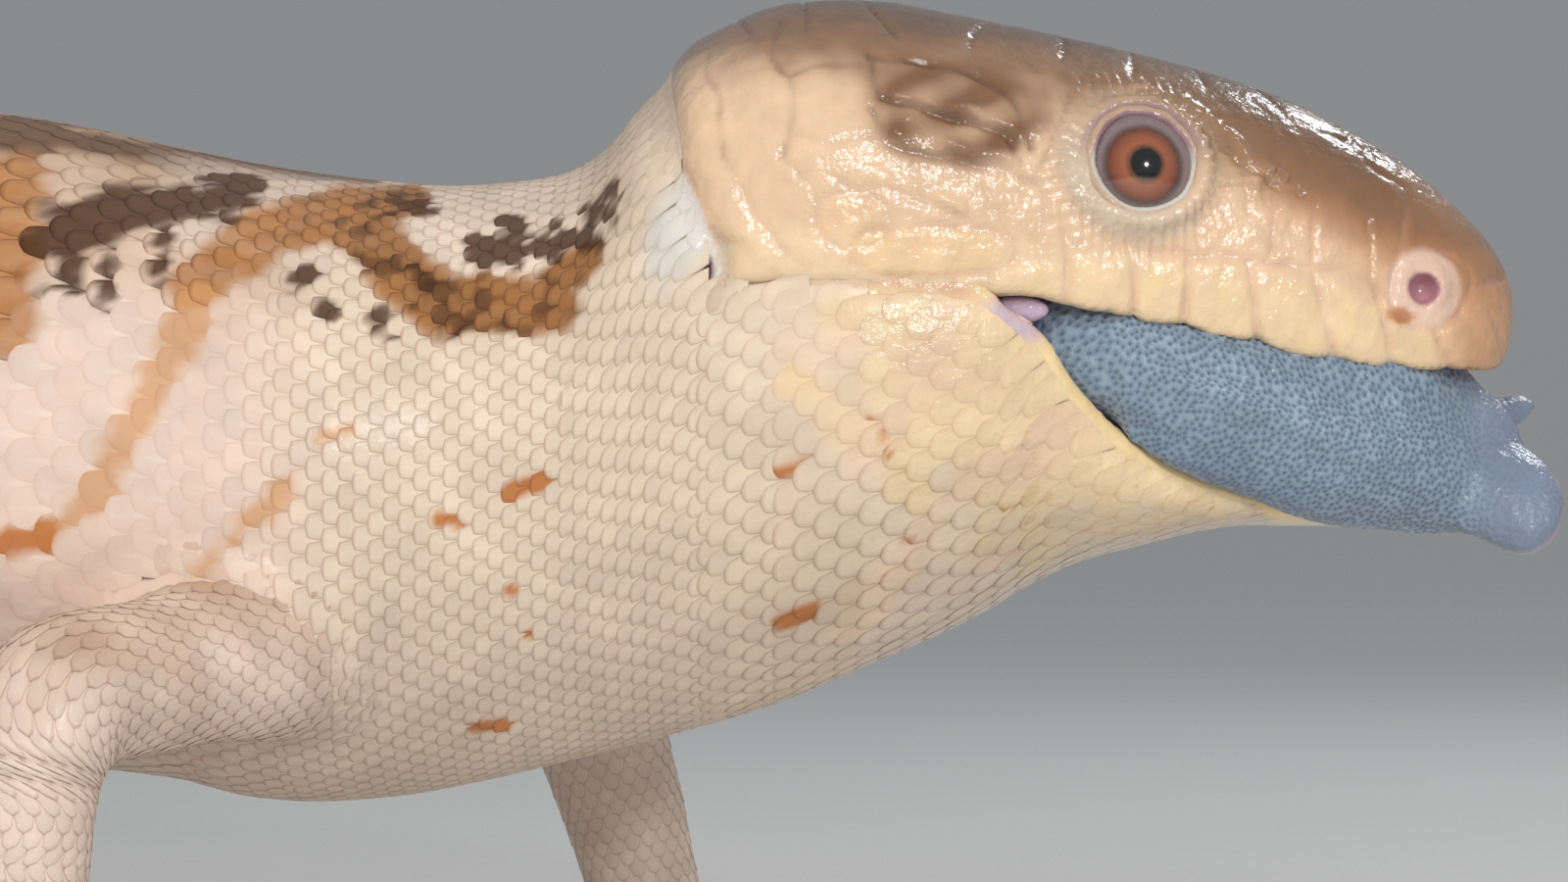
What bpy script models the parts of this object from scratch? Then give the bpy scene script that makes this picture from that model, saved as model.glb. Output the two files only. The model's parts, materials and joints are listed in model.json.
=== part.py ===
# A blue-tongued skink as a still, life-size model: standing on its forelegs,
# chest raised, mouth open and the blue tongue hanging out to its right.
# Lengths below are millimetres and become metres where a mesh is made.
# +X is the way the head points, +Y is the animal's left, +Z is up and the floor is z = 0.
# Most sizes are given along the station line, which starts at the snout tip and runs
# back along the middle of the body to the tail tip.

import math

import bmesh
import bpy
import numpy as np
from mathutils import Matrix, Vector

MM = 0.001
PART_GAP = 0.3  # clear space between two touching nodes

# Driving sizes
SNOUT_X = 54.5
TOTAL_STATIONS = 495.0
JAW_TIP = 9.0
MOUTH_CORNER = 37.8
NECK_CUT = 67.5
SHOULDER_CUT = 80.0
RIB_CUT = 135.0
LOIN_CUT = 235.0
VENT_CUT = 305.0
TAIL_CUTS = (365.0, 430.0)

# Profiles: (station, value) knots, joined by a smooth curve
TOP = [
    (0, 54.1), (0.15, 55.5), (1.3, 58.2), (3.8, 61.1), (7.4, 64.2), (11.7, 66.8), (16.4, 69.1),
    (20, 70.4), (26.5, 72.2), (32.3, 73.5), (39.9, 75.0), (47.1, 76.1), (51, 76.0), (54.6, 75.2),
    (57.1, 74.0), (59.5, 72.4), (61, 70.9), (62.2, 69.6), (63.1, 68.3), (64.9, 65.9), (66.5, 64.7),
    (68.5, 63.8), (71.6, 63.3), (76, 63.0), (80.7, 63.3), (88, 64.2), (94.9, 65.5), (102, 67.1),
    (109, 68.2), (117, 68.9), (126, 68.8), (140, 67), (155, 63.8), (175, 59), (195, 54.6), (220, 50.1),
    (245, 46.1), (267, 42.2), (287, 37.9), (305, 33.5), (321, 29.8), (345, 26),
    (380, 21), (420, 15.8), (455, 10.8), (480, 6.6), (491, 4), (495, 2.2),
]
UNDERSIDE = [
    (9, 39.2), (9.8, 38.3), (14.7, 38.5), (19.2, 38.5), (22.5, 38.1), (27, 37), (31.2, 35.9),
    (34.8, 34.2), (38.5, 32), (42.7, 30), (47.5, 28), (52.4, 25.9), (59.5, 23.7), (69.4, 21.2),
    (73.7, 20.2), (80.7, 19), (85.7, 18.7), (90.1, 19), (96, 20.4), (104, 21.2), (113, 20.8), (122, 19),
    (135, 14.5), (155, 8.5), (175, 3.4), (192, 0.3), (205, -0.5), (262, -0.5),
    (285, 0.6), (303, 2.0), (318, 1.2), (335, -0.2), (360, -0.4), (455, -0.4),
    (485, -0.2), (495, 1.0),
]
HALF_WIDTH = [
    (0, 0), (0.5, 2.9), (1.5, 4.9), (3.5, 7.1), (6.5, 9.1), (9, 10.3), (12, 11.5),
    (16, 13.0), (20, 14.2), (24, 15.2), (28.5, 16.4), (33, 17.8), (38, 19.4),
    (45, 21.3), (52, 22.4), (58, 22.3), (63, 21.4), (68, 20.8), (75, 22), (84, 25),
    (95, 27.6), (108, 30), (120, 32), (135, 34.4), (155, 37), (175, 38.4),
    (195, 38.8), (220, 37.5), (245, 34), (267, 29.5), (287, 24.6), (305, 19.4),
    (321, 16.3), (345, 14.2), (380, 11.6), (420, 8.8), (455, 6.1), (480, 3.7),
    (491, 2.1), (495, 0.9),
]
# Height of the widest point, behind the head, as a share of the depth there
WIDEST_SHARE = [(67, 0.51), (90, 0.46), (120, 0.43), (300, 0.45), (495, 0.48)]
TOP_SQUARENESS = [(0, 2.1), (10, 2.3), (28, 2.6), (50, 2.5), (75, 2.2), (495, 2.1)]
LOW_SQUARENESS = [(9, 2.0), (30, 2.2), (60, 2.2), (110, 2.3), (200, 2.7), (495, 2.2)]

# The upper lip and, behind the mouth corner, the line where head and jaw part
LIP_LINE = [
    (0, 53.6), (0.5, 51.6), (1.2, 50.0), (2.4, 49.5), (5.7, 49.9), (11.8, 50.3),
    (16.9, 51.0), (21.3, 52.1), (26.4, 53.1), (31.4, 53.9), (35.3, 54.3),
    (44.1, 54.8), (54.5, 55.4), (60, 53), (64, 48.5), (67.5, 44.2),
]
CHEEK_RISE = [(0, 0.4), (3, 3.2), (28, 3.6), (40, 5), (52, 6), (60, 4), (67.5, 0.05)]
LIP_TUCK = [(0, 0.2), (3, 0.5), (30, 0.7), (45, 0.6), (60, 0.2), (67.5, 0.02)]
# Places along the lip where one upper lip shield ends and the next begins
LIP_SHIELDS = (4.6, 9.6, 13.4, 19.4, 25.2, 30.0, 34.6)
SCALLOP = 0.42
# The lower lip and the lower jaw
JAW_LIP = [
    (9, 39.9), (11.5, 40.1), (16.7, 40.8), (21.2, 41.7), (24.1, 42.7), (26.7, 43.9), (29.1, 45.3),
    (31, 47.1), (32.7, 49), (34.6, 52), (37.8, 54.1),
]
JAW_WIDTH = [
    (9, 0), (9.5, 2.7), (11, 4.9), (13, 6.7), (16, 8.8), (20, 10.9), (25, 13.2),
    (30, 15.4), (34, 17.3), (38, 19.4), (45, 21.4), (52, 22.4), (58, 22.3), (63, 21.4),
    (68, 20.8),
]
JOWL_DROP = [(9, 0.5), (20, 1.4), (32, 3), (45, 5), (55, 5), (62, 3), (67.5, 0.05)]
PALATE_RISE = 1.2
MOUTH_FLOOR_DROP = 1.2

# Heading of the body seen from above, in degrees: it sways at the loins and the tail curls
HEADING = [(0, 0), (120, 0), (180, 8), (245, 13), (300, 0), (350, -22), (420, -46), (495, -62)]

# Lengths of the trunk: name, front and back station, ring spacing, points round, colour
TRUNK = [
    ("neck", NECK_CUT, SHOULDER_CUT, 3.2, 30, "trunk"),
    ("chest", SHOULDER_CUT, RIB_CUT, 6.0, 30, "trunk"),
    ("belly", RIB_CUT, LOIN_CUT, 9.0, 28, "trunk"),
    ("hips", LOIN_CUT, VENT_CUT, 7.5, 26, "trunk"),
    ("tail_base", VENT_CUT, TAIL_CUTS[0], 6.5, 22, "tail"),
    ("tail_middle", TAIL_CUTS[0], TAIL_CUTS[1], 7.0, 18, "tail"),
    ("tail_tip", TAIL_CUTS[1], TOTAL_STATIONS + PART_GAP / 2, 6.0, 14, "tail"),
]

# The eyeball is a little flat along its gaze, and the lids are a ring round it
EYE = {
    "at": (26.0, 12.5, 63.2), "half": (5.0, 5.0, 4.2), "lid": 4.3, "lid_thick": 0.65,
    "lid_out": 2.95, "up": 14, "forward": 12,
}
NOSTRIL = {"at": (46.9, 9.1, 55.3), "half": (1.05, 1.6, 1.05), "sink": 0.5}
NOSTRIL_RIM = {"half": (2.2, 1.6, 2.2), "sink": 0.9}
EAR = {"at": (-3.4, 20.4, 56.4), "half": (1.5, 3.2, 2.9), "drum_depth": 1.7}

# Head shields: station, mm round from the middle of the crown, half length, half height, tilt
SHIELDS = [
    (2.0, 0.0, 3.4, 6.0, 0), (7.2, 9.4, 2.9, 2.9, 0), (8.6, 2.9, 3.0, 3.2, 0),
    (15.0, 0.0, 4.0, 4.6, 0), (16.0, 7.8, 3.8, 3.4, 0), (13.0, 13.2, 3.0, 2.6, 0),
    (19.0, 13.6, 2.8, 3.2, 0), (25.6, 0.0, 6.6, 3.9, 0), (22.0, 7.6, 3.4, 3.6, 0),
    (28.6, 7.4, 3.6, 3.9, 0), (34.6, 7.0, 3.0, 3.6, 0), (37.8, 0.0, 4.4, 3.4, 0),
    (41.6, 5.8, 5.6, 3.8, 0), (48.6, 2.6, 4.6, 4.6, 0), (40.0, 10.6, 5.8, 2.1, 20),
    (41.0, 14.4, 5.6, 1.9, 10), (41.0, 19.0, 6.0, 2.9, 4), (52.4, 8.4, 4.6, 3.4, 20),
    (52.6, 14.6, 4.8, 4.4, 0), (49.6, 21.6, 3.4, 3.2, 0), (58.4, 4.6, 3.8, 4.4, 0),
    (59.2, 12.4, 3.4, 4.6, 0), (57.6, 20.6, 3.6, 4.4, 0), (63.6, 9.0, 3.0, 4.4, 0),
    (64.0, 17.6, 3.0, 4.6, 0),
]
SHIELD_RAISE = 0.5
GROOVE_WIDTH = 0.3

# The tongue: x, y and z of the middle, half width, half thickness, roll towards the right
TONGUE = [
    (18.5, 0, 52.6, 9, 1.6, 0), (21, -0.3, 51.0, 13.2, 4.0, 3), (24, -0.6, 49.6, 15.0, 5.6, 6),
    (29, -1.0, 48.2, 15.4, 6.2, 9), (34, -1.5, 47.6, 14.2, 6.2, 14), (39, -2.1, 46.9, 12.4, 6.0, 24),
    (43.5, -2.7, 46.4, 10.4, 5.6, 36), (47.5, -3.2, 45.6, 8.6, 4.9, 50), (51, -3.5, 43.9, 6.0, 3.4, 60),
    (53.4, -3.7, 43.2, 4.2, 2.2, 64), (54.6, -3.8, 43.2, 2.6, 1.2, 66),
]
# Its two tips: x, y and z of the middle and half width
NEAR_LOBE = [
    (46, -4.6, 43.0, 4.8), (50, -5.4, 42.0, 4.7), (52.5, -5.9, 41.0, 4.9), (54.4, -6.3, 40.4, 4.8),
    (55.8, -6.6, 40.3, 3.8), (56.8, -6.8, 40.3, 2.3), (57.2, -6.9, 40.3, 0.9),
]
FAR_LOBE = [(49.5, -1.6, 45.4, 3.0), (53, -0.6, 46.1, 2.1), (55.2, 0.2, 46.9, 1.4), (56.4, 0.5, 47.3, 0.5)]
LOBE_FLATNESS = 0.55
LOBE_ROLL = 52
TONGUE_SQUARENESS = 0.75
LIP_CLEARANCE = 0.15  # more room over the tongue than the usual gap
MOUTH_DEPTH = 52.5  # station behind which the mouth's hollow ends

# Legs, each in the frame of the body at its own station: forward, out and up
LEGS = {
    "foreleg_right": {
        "station": 84, "side": -1,
        "path": [
            (2, 11, 30), (-3.6, 22, 29.9), (-10, 30.5, 29.2), (-16, 37.6, 27.2), (-17.4, 39.6, 17),
            (-16.6, 40.6, 4),
        ],
        "radius": (6.2, 5.8, 5.3, 5.3, 4.7, 4.1), "bend": 3,
        "foot": (-14.8, 42, -34), "toes": (5.0, 6.6, 7.8, 7.2, 5.4),
    },
    "foreleg_left": {
        "station": 84, "side": 1,
        "path": [
            (2, 11, 30), (2.6, 22, 29.8), (8, 31, 28.4), (14.6, 38, 25.4), (18, 40, 17),
            (21.4, 40.6, 4),
        ],
        "radius": (6.2, 5.9, 5.4, 5.6, 5.3, 4.3), "bend": 3,
        "foot": (23.4, 41.6, -20), "toes": (5.0, 6.6, 7.8, 7.2, 5.4),
    },
    "hindleg_right": {
        "station": 272, "side": -1,
        "path": [
            (-4, 10, 16), (2, 24, 17), (11, 37, 17.5), (16, 45, 15.6), (8, 52, 12), (1, 57.5, 4),
        ],
        "radius": (10.5, 9.6, 7.6, 6.4, 5.6, 4.6), "bend": 3,
        "foot": (3.4, 60, -36), "toes": (4.8, 6.6, 8.2, 9.0, 6.2),
    },
    "hindleg_left": {
        "station": 272, "side": 1,
        "path": [
            (-4, 10, 16), (-1, 24, 17), (5, 37, 17.2), (7, 45, 15.4), (-2, 51, 12), (-9, 56, 4),
        ],
        "radius": (10.5, 9.6, 7.6, 6.4, 5.6, 4.6), "bend": 3,
        "foot": (-6.8, 58, -30), "toes": (4.8, 6.6, 8.2, 9.0, 6.2),
    },
}
LEG_PARTS = {
    "foreleg": ("upper_arm", "forearm", "forefoot"), "hindleg": ("thigh", "shank", "hindfoot"),
}
WRIST_HEIGHT = 8.2
# Stations before and behind a leg's own, and the spacing, of the body that its root is cut against
ROOT_BODY = {"front": 24, "back": 34, "spacing": 5.5, "around": 32}
PALM = (6.6, 5.6, 3.3)
SOLE_SINK = 0.6
TOE_SPREAD = (-58, -29, -4, 20, 47)
TOE_ROOT = 0.45  # share of the palm's half width at which a toe starts
# Toes: share of the length, height, radius. Claws: mm past the toe's end, height, radius.
TOE = [(0, 2.5, 1.55), (0.45, 2.0, 1.55), (0.8, 1.3, 1.47), (1.0, 0.95, 1.08)]
CLAW = [(-1.2, 1.25, 0.72), (1.55, 1.25, 0.61), (3.1, 0.4, 0.22)]

# Rings and points round them: enough for the form, and no more
DETAIL = {
    "head": (41, 18), "jaw": (24, 13), "roof": (26, 10), "floor": (22, 10), "tongue": (18, 16),
    "lobe": (10, 10), "limb": (18, 14), "toe": 8, "claw": 6,
}

COLOURS = {
    "head": (0.66, 0.50, 0.34, 0.35), "lower_jaw": (0.80, 0.66, 0.42, 0.4),
    "trunk": (0.74, 0.62, 0.50, 0.45), "tail": (0.62, 0.48, 0.36, 0.45),
    "leg": (0.64, 0.51, 0.42, 0.45), "tongue": (0.20, 0.30, 0.42, 0.3),
    "eye": (0.36, 0.13, 0.05, 0.08), "ear": (0.60, 0.48, 0.55, 0.4),
}


# Profiles and the body's line

def along(knots, at, start=0.0):
    """Value of a profile at one or more stations, smooth and without overshoot."""
    place = np.sqrt(np.maximum(np.array([k[0] for k in knots], float) - start, 0))
    value = np.array([k[1] for k in knots], float)
    x = np.clip(np.sqrt(np.maximum(np.asarray(at, float) - start, 0)), place[0], place[-1])
    step = np.diff(place)
    slope = np.diff(value) / step
    same_way = slope[:-1] * slope[1:] > 0
    safe = np.where(slope == 0, 1.0, slope)
    near, far = 2 * step[1:] + step[:-1], step[1:] + 2 * step[:-1]
    tangent = np.zeros(len(value))
    blended = (near + far) / (near / safe[:-1] + far / safe[1:])
    tangent[1:-1] = np.where(same_way, blended, 0.0)
    tangent[0], tangent[-1] = slope[0], slope[-1]
    i = np.clip(np.searchsorted(place, x, side="right") - 1, 0, len(step) - 1)
    t = (x - place[i]) / step[i]
    h = step[i]
    return (
        (1 + 2 * t) * (1 - t) ** 2 * value[i]
        + t * (1 - t) ** 2 * h * tangent[i]
        + t * t * (3 - 2 * t) * value[i + 1]
        + t * t * (t - 1) * h * tangent[i + 1]
    )


LINE_STEP = 0.5
LINE_AT = np.arange(0, TOTAL_STATIONS + LINE_STEP, LINE_STEP)
LINE_TURN = np.radians(along(HEADING, LINE_AT))
LINE_X = SNOUT_X - np.concatenate([[0], np.cumsum(np.cos(LINE_TURN[1:]) * LINE_STEP)])
LINE_Y = np.concatenate([[0], np.cumsum(np.sin(LINE_TURN[1:]) * LINE_STEP)])


def on_line(station):
    """Place on the body's middle line and its heading there."""
    return (
        float(np.interp(station, LINE_AT, LINE_X)),
        float(np.interp(station, LINE_AT, LINE_Y)),
        float(np.interp(station, LINE_AT, LINE_TURN)),
    )


def in_world(station, out, height, forward=0.0):
    """World point from the body's frame at a station."""
    x, y, turn = on_line(station)
    ahead = Vector((math.cos(turn), -math.sin(turn), 0))
    left = Vector((math.sin(turn), math.cos(turn), 0))
    return Vector((x, y, 0)) + ahead * forward + left * out + Vector((0, 0, height))


# Outlines of the sections

def quarter(start, end, squareness, bulge_first, count=14):
    """A quarter of a rounded square between two (out, height) points."""
    turn = np.linspace(0, math.pi / 2, count)
    power = 2.0 / squareness
    rise, fall = np.sin(turn) ** power, np.cos(turn) ** power
    if bulge_first:
        out, height = start[0] + (end[0] - start[0]) * rise, end[1] + (start[1] - end[1]) * fall
    else:
        out, height = end[0] + (start[0] - end[0]) * fall, start[1] + (end[1] - start[1]) * rise
    return np.column_stack([out, height])


def evenly(points, count):
    """The polyline through points, with evenly spaced points, and the length run at each."""
    run = np.concatenate([[0], np.cumsum(np.linalg.norm(np.diff(points, axis=0), axis=1))])
    at = np.linspace(0, run[-1], count)
    return np.column_stack([np.interp(at, run, points[:, k]) for k in range(2)]), at


def body_half(station, count, grow=0.0):
    """Half of a section behind the head, from the back to the belly."""
    top, low = along(TOP, station) + grow, along(UNDERSIDE, station, JAW_TIP) - grow
    wide = along(HALF_WIDTH, station) + grow
    level = low + (top - low) * along(WIDEST_SHARE, station)
    upper = quarter((0, top), (wide, level), along(TOP_SQUARENESS, station), True)
    lower = quarter((wide, level), (0, low), along(LOW_SQUARENESS, station), False)
    return evenly(np.vstack([upper, lower[1:]]), count)[0]


def scallop(station):
    """How far a lip shield hangs below the lip line."""
    for front, back in zip(LIP_SHIELDS[:-1], LIP_SHIELDS[1:]):
        if front <= station <= back:
            t = (station - front) / (back - front)
            return SCALLOP * math.sqrt(4 * t * (1 - t))
    return 0.0


def openness(station):
    """1 where the mouth is open, falling to 0 just behind its corner."""
    return float(np.clip((MOUTH_CORNER - station) / 4.0, 0, 1))


def head_half(station, count):
    """Half of the upper head, from the crown to the lip, then in to the palate."""
    lip = float(along(LIP_LINE, station))
    wide = float(along(HALF_WIDTH, station))
    tuck = min(float(along(LIP_TUCK, station)), wide * 0.3)
    open_share = openness(station)
    edge = lip + PART_GAP / 2 * (1 - open_share) - scallop(station)
    level = max(lip + float(along(CHEEK_RISE, station)), edge + 0.02)
    crown, square = float(along(TOP, station)), float(along(TOP_SQUARENESS, station))
    upper = quarter((0, crown), (wide, level), square, True)
    lower = quarter((wide, level), (wide - tuck, edge), 2.4, False, 6)
    outline, run = evenly(np.vstack([upper, lower[1:]]), count)
    inner = wide - tuck - min(1.1, 0.35 * wide) * open_share
    roof = edge + PALATE_RISE * open_share * min(1.0, wide / 8)
    inside = np.array([(inner * 0.97, edge + (roof - edge) * 0.6), (inner * 0.5, roof), (0, roof)])
    return outline, run, inside


def jaw_half(station, count):
    """Half of the lower jaw, from the lower lip to the throat, then in to the mouth floor."""
    width = float(along(JAW_WIDTH, station, JAW_TIP))
    low = float(along(UNDERSIDE, station, JAW_TIP))
    open_share = openness(station)
    parting = float(along(LIP_LINE, station)) - PART_GAP / 2
    lip = float(along(JAW_LIP, station, JAW_TIP)) if station < MOUTH_CORNER else parting
    tuck = min(float(along(LIP_TUCK, station)), width * 0.3)
    level = min(lip - float(along(JOWL_DROP, station, JAW_TIP)), lip - 0.02)
    level = max(level, low + 0.4)
    upper = quarter((width - tuck, lip), (width, level), 2.4, True, 6)
    lower = quarter((width, level), (0, low), float(along(LOW_SQUARENESS, station, JAW_TIP)), False)
    outline, run = evenly(np.vstack([upper, lower[1:]]), count)
    inner = width - tuck - min(1.0, 0.35 * width) * open_share
    floor = lip - min(MOUTH_FLOOR_DROP * min(1.0, width / 8), (lip - low) * 0.4) * open_share
    inside = np.array([(0, floor), (inner * 0.5, floor), (inner * 0.97, lip - (lip - floor) * 0.6)])
    return outline, run, inside


# Head shields

def shield_relief(station, run):
    """Height of the shields over the skin: raised in the middle of each, low along the seams."""
    station, run = np.asarray(station, float), np.asarray(run, float)
    near = np.full(station.shape, 9e9)
    second = near.copy()
    for at, round_from_top, half_long, half_high, tilt in SHIELDS:
        turn = math.radians(tilt)
        dx, dy = station - at, run - round_from_top
        u = (dx * math.cos(turn) - dy * math.sin(turn)) / half_long
        v = (dx * math.sin(turn) + dy * math.cos(turn)) / half_high
        far = np.hypot(u, v)
        second = np.minimum(second, np.maximum(near, far))
        near = np.minimum(near, far)
    return SHIELD_RAISE * np.clip((second - near) / GROOVE_WIDTH, 0, 1) ** 0.6


# Meshes from sections

def new_object(name, mesh, colour, smooth=True):
    obj = bpy.data.objects.new(name, mesh)
    SKINK.objects.link(obj)
    if smooth:
        mesh.shade_smooth()
    if colour:
        mesh.materials.append(material(colour))
    return obj


def material(kind):
    found = bpy.data.materials.get(kind)
    if found:
        return found
    made = bpy.data.materials.new(kind)
    made.use_nodes = True
    shader = made.node_tree.nodes["Principled BSDF"]
    red, green, blue, roughness = COLOURS[kind]
    shader.inputs["Base Color"].default_value = (red, green, blue, 1)
    shader.inputs["Roughness"].default_value = roughness
    shader.inputs["Metallic"].default_value = 0.0
    return made


def loft(rings):
    """A closed mesh through rings of points, capped at both ends."""
    bm = bmesh.new()
    loops = [[bm.verts.new(Vector(p) * MM) for p in ring] for ring in rings]
    for a, b in zip(loops[:-1], loops[1:]):
        for k in range(len(a)):
            n = (k + 1) % len(a)
            bm.faces.new((a[k], a[n], b[n], b[k]))
    bm.faces.new(loops[0][::-1])
    bm.faces.new(loops[-1])
    bmesh.ops.remove_doubles(bm, verts=bm.verts, dist=0.00001)
    bmesh.ops.dissolve_degenerate(bm, dist=0.00001, edges=bm.edges)
    bmesh.ops.recalc_face_normals(bm, faces=bm.faces)
    mesh = bpy.data.meshes.new("loft")
    bm.to_mesh(mesh)
    bm.free()
    return mesh


def both_sides(half):
    """A closed ring of (out, height) from a half that starts and ends on the middle line."""
    return np.vstack([half, (half[1:-1] * (-1, 1))[::-1]])


def trunk_length(front, back, spacing, around, grow=0.0):
    """A length of neck, trunk or tail between two stations."""
    count = max(2, round((back - front) / spacing) + 1)
    rings = []
    for station in np.linspace(front, back, count):
        ring = both_sides(body_half(station, around // 2 + 1, grow))
        floor = 0.0 if grow == 0 else -9e9
        rings.append([in_world(station, out, max(height, floor)) for out, height in ring])
    return loft(rings)


def head_loft(half_of, stations, count, relief):
    """The upper head or the lower jaw, with its shields raised."""
    rings = []
    for station in stations:
        outline, run, inside = half_of(station, count)
        if relief:
            edge = np.gradient(outline, axis=0)
            normal = np.column_stack([-edge[:, 1], edge[:, 0]])
            normal /= np.maximum(np.linalg.norm(normal, axis=1), 1e-9)[:, None]
            fade = np.clip((station - 0.5) / 3, 0, 1) * np.clip((NECK_CUT - station) / 3, 0, 1)
            outline = outline - normal * (shield_relief(np.full(count, station), run) * fade)[:, None]
            outline[:, 0] = np.maximum(outline[:, 0], 0)
            outline[0, 0] = 0
        half = np.vstack([outline, inside]) if half_of is head_half else np.vstack([inside, outline])
        rings.append([in_world(station, out, height) for out, height in both_sides(half)])
    return loft(rings)


# Blender's tools

def evaluated_mesh(obj):
    bpy.context.view_layer.update()
    graph = bpy.context.evaluated_depsgraph_get()
    return bpy.data.meshes.new_from_object(obj.evaluated_get(graph))


def apply_boolean(target, others, operation, solver="EXACT"):
    """Joins or cuts target with closed mesh objects, which are then removed."""
    pieces = bpy.data.collections.new("pieces")
    bpy.context.scene.collection.children.link(pieces)
    for other in others:
        SKINK.objects.unlink(other)
        pieces.objects.link(other)
    modifier = target.modifiers.new(operation.lower(), "BOOLEAN")
    modifier.operation = operation
    modifier.operand_type = "COLLECTION"
    modifier.collection = pieces
    modifier.solver = solver
    mesh = evaluated_mesh(target)
    target.modifiers.remove(modifier)
    target.data = mesh
    for other in list(pieces.objects):
        bpy.data.objects.remove(other)
    bpy.data.collections.remove(pieces)
    return target


def largest_surface(obj):
    """Keeps only the largest closed surface of a node."""
    bm = bmesh.new()
    bm.from_mesh(obj.data)
    bm.verts.ensure_lookup_table()
    seen, islands = set(), []
    for start in bm.verts:
        if start in seen:
            continue
        island, queue = [], [start]
        seen.add(start)
        while queue:
            vert = queue.pop()
            island.append(vert)
            for edge in vert.link_edges:
                other = edge.other_vert(vert)
                if other not in seen:
                    seen.add(other)
                    queue.append(other)
        islands.append(island)
    islands.sort(key=len)
    for island in islands[:-1]:
        bmesh.ops.delete(bm, geom=island, context="VERTS")
    bm.to_mesh(obj.data)
    bm.free()
    return obj


def ball(name, at, half, turn=Matrix.Identity(3), segments=16, rings=10):
    bpy.ops.mesh.primitive_uv_sphere_add(segments=segments, ring_count=rings, radius=1)
    obj = adopt(name)
    obj.data.transform(Matrix.LocRotScale(Vector(at) * MM, turn, Vector(half) * MM))
    return obj


def adopt(name):
    """Names the newest primitive and moves it into the skink's collection."""
    obj = bpy.context.active_object
    for home in list(obj.users_collection):
        home.objects.unlink(obj)
    SKINK.objects.link(obj)
    obj.name = name
    obj.location = (0, 0, 0)
    return obj


def tube(name, points, radii, sides):
    """A tapering tube with closed ends, as a mesh, from a poly curve."""
    curve = bpy.data.curves.new(name, "CURVE")
    curve.dimensions = "3D"
    curve.bevel_depth = 1.0
    curve.bevel_resolution = (sides - 4) // 2
    curve.use_fill_caps = True
    spline = curve.splines.new("POLY")
    spline.points.add(len(points) - 1)
    for knot, point, radius in zip(spline.points, points, radii):
        knot.co = (*(Vector(point) * MM), 1)
        knot.radius = radius * MM
    obj = bpy.data.objects.new(name, curve)
    SKINK.objects.link(obj)
    mesh = evaluated_mesh(obj)
    bpy.data.objects.remove(obj)
    bm = bmesh.new()
    bm.from_mesh(mesh)
    bmesh.ops.remove_doubles(bm, verts=bm.verts, dist=0.00001)
    bmesh.ops.recalc_face_normals(bm, faces=bm.faces)
    bm.to_mesh(mesh)
    bm.free()
    return new_object(name, mesh, None)


def curve_through(knots, count):
    """Evenly spread rows on a smooth curve through knots, such as x, y, z and radius."""
    knots = np.array(knots, float)
    padded = np.vstack([2 * knots[0] - knots[1], knots, 2 * knots[-1] - knots[-2]])
    points = []
    for t in np.linspace(0, len(knots) - 1, count):
        i = min(int(t), len(knots) - 2)
        u = t - i
        a, b, c, d = padded[i : i + 4]
        bow, turn = 2 * a - 5 * b + 4 * c - d, 3 * b - a - 3 * c + d
        points.append(0.5 * (2 * b + (c - a) * u + bow * u**2 + turn * u**3))
    return np.array(points)


def cut_in_two(obj, point, normal):
    """Two meshes from one, parted by a plane with the usual gap. The first lies behind the plane."""
    halves = []
    for side in (-1, 1):
        bm = bmesh.new()
        bm.from_mesh(obj.data)
        place = (Vector(point) + Vector(normal).normalized() * side * PART_GAP / 2) * MM
        cut = bmesh.ops.bisect_plane(
            bm, geom=bm.verts[:] + bm.edges[:] + bm.faces[:], plane_co=place, plane_no=normal,
            dist=0.000001, clear_outer=side < 0, clear_inner=side > 0,
        )
        edges = [e for e in cut["geom_cut"] if isinstance(e, bmesh.types.BMEdge) and e.is_boundary]
        bmesh.ops.holes_fill(bm, edges=edges)
        bmesh.ops.recalc_face_normals(bm, faces=bm.faces)
        mesh = bpy.data.meshes.new("half")
        bm.to_mesh(mesh)
        bm.free()
        halves.append(mesh)
    return halves


def cut_flat(obj):
    """Takes away what lies under the floor, so that soles and toes end in flats."""
    bm = bmesh.new()
    bm.from_mesh(obj.data)
    cut = bmesh.ops.bisect_plane(
        bm, geom=bm.verts[:] + bm.edges[:] + bm.faces[:], plane_co=(0, 0, 0), plane_no=(0, 0, 1),
        dist=0.000001, clear_inner=True,
    )
    edges = [e for e in cut["geom_cut"] if isinstance(e, bmesh.types.BMEdge) and e.is_boundary]
    bmesh.ops.holes_fill(bm, edges=edges)
    bmesh.ops.recalc_face_normals(bm, faces=bm.faces)
    bm.to_mesh(obj.data)
    bm.free()


# The animal

def make_trunk():
    for name, front, back, spacing, around, colour in TRUNK:
        mesh = trunk_length(front + PART_GAP / 2, back - PART_GAP / 2, spacing, around)
        new_object(name, mesh, colour)


def head_stations(front, back, near_tip, count):
    """Stations that crowd towards the tip of the snout or jaw, where the outline is round."""
    return near_tip + np.linspace(math.sqrt(front - near_tip), math.sqrt(back - near_tip), count) ** 2


def beside(at, side, outward=0.0):
    """A place on the animal's left, or with side -1 its twin on the right."""
    return at[0], side * (at[1] + outward), at[2]


def gaze(side):
    """Turns +Z to the way an eye looks."""
    forward = Matrix.Rotation(math.radians(-EYE["forward"] * side), 3, "Z")
    return forward @ Matrix.Rotation(math.radians((EYE["up"] - 90) * side), 3, "X")


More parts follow.
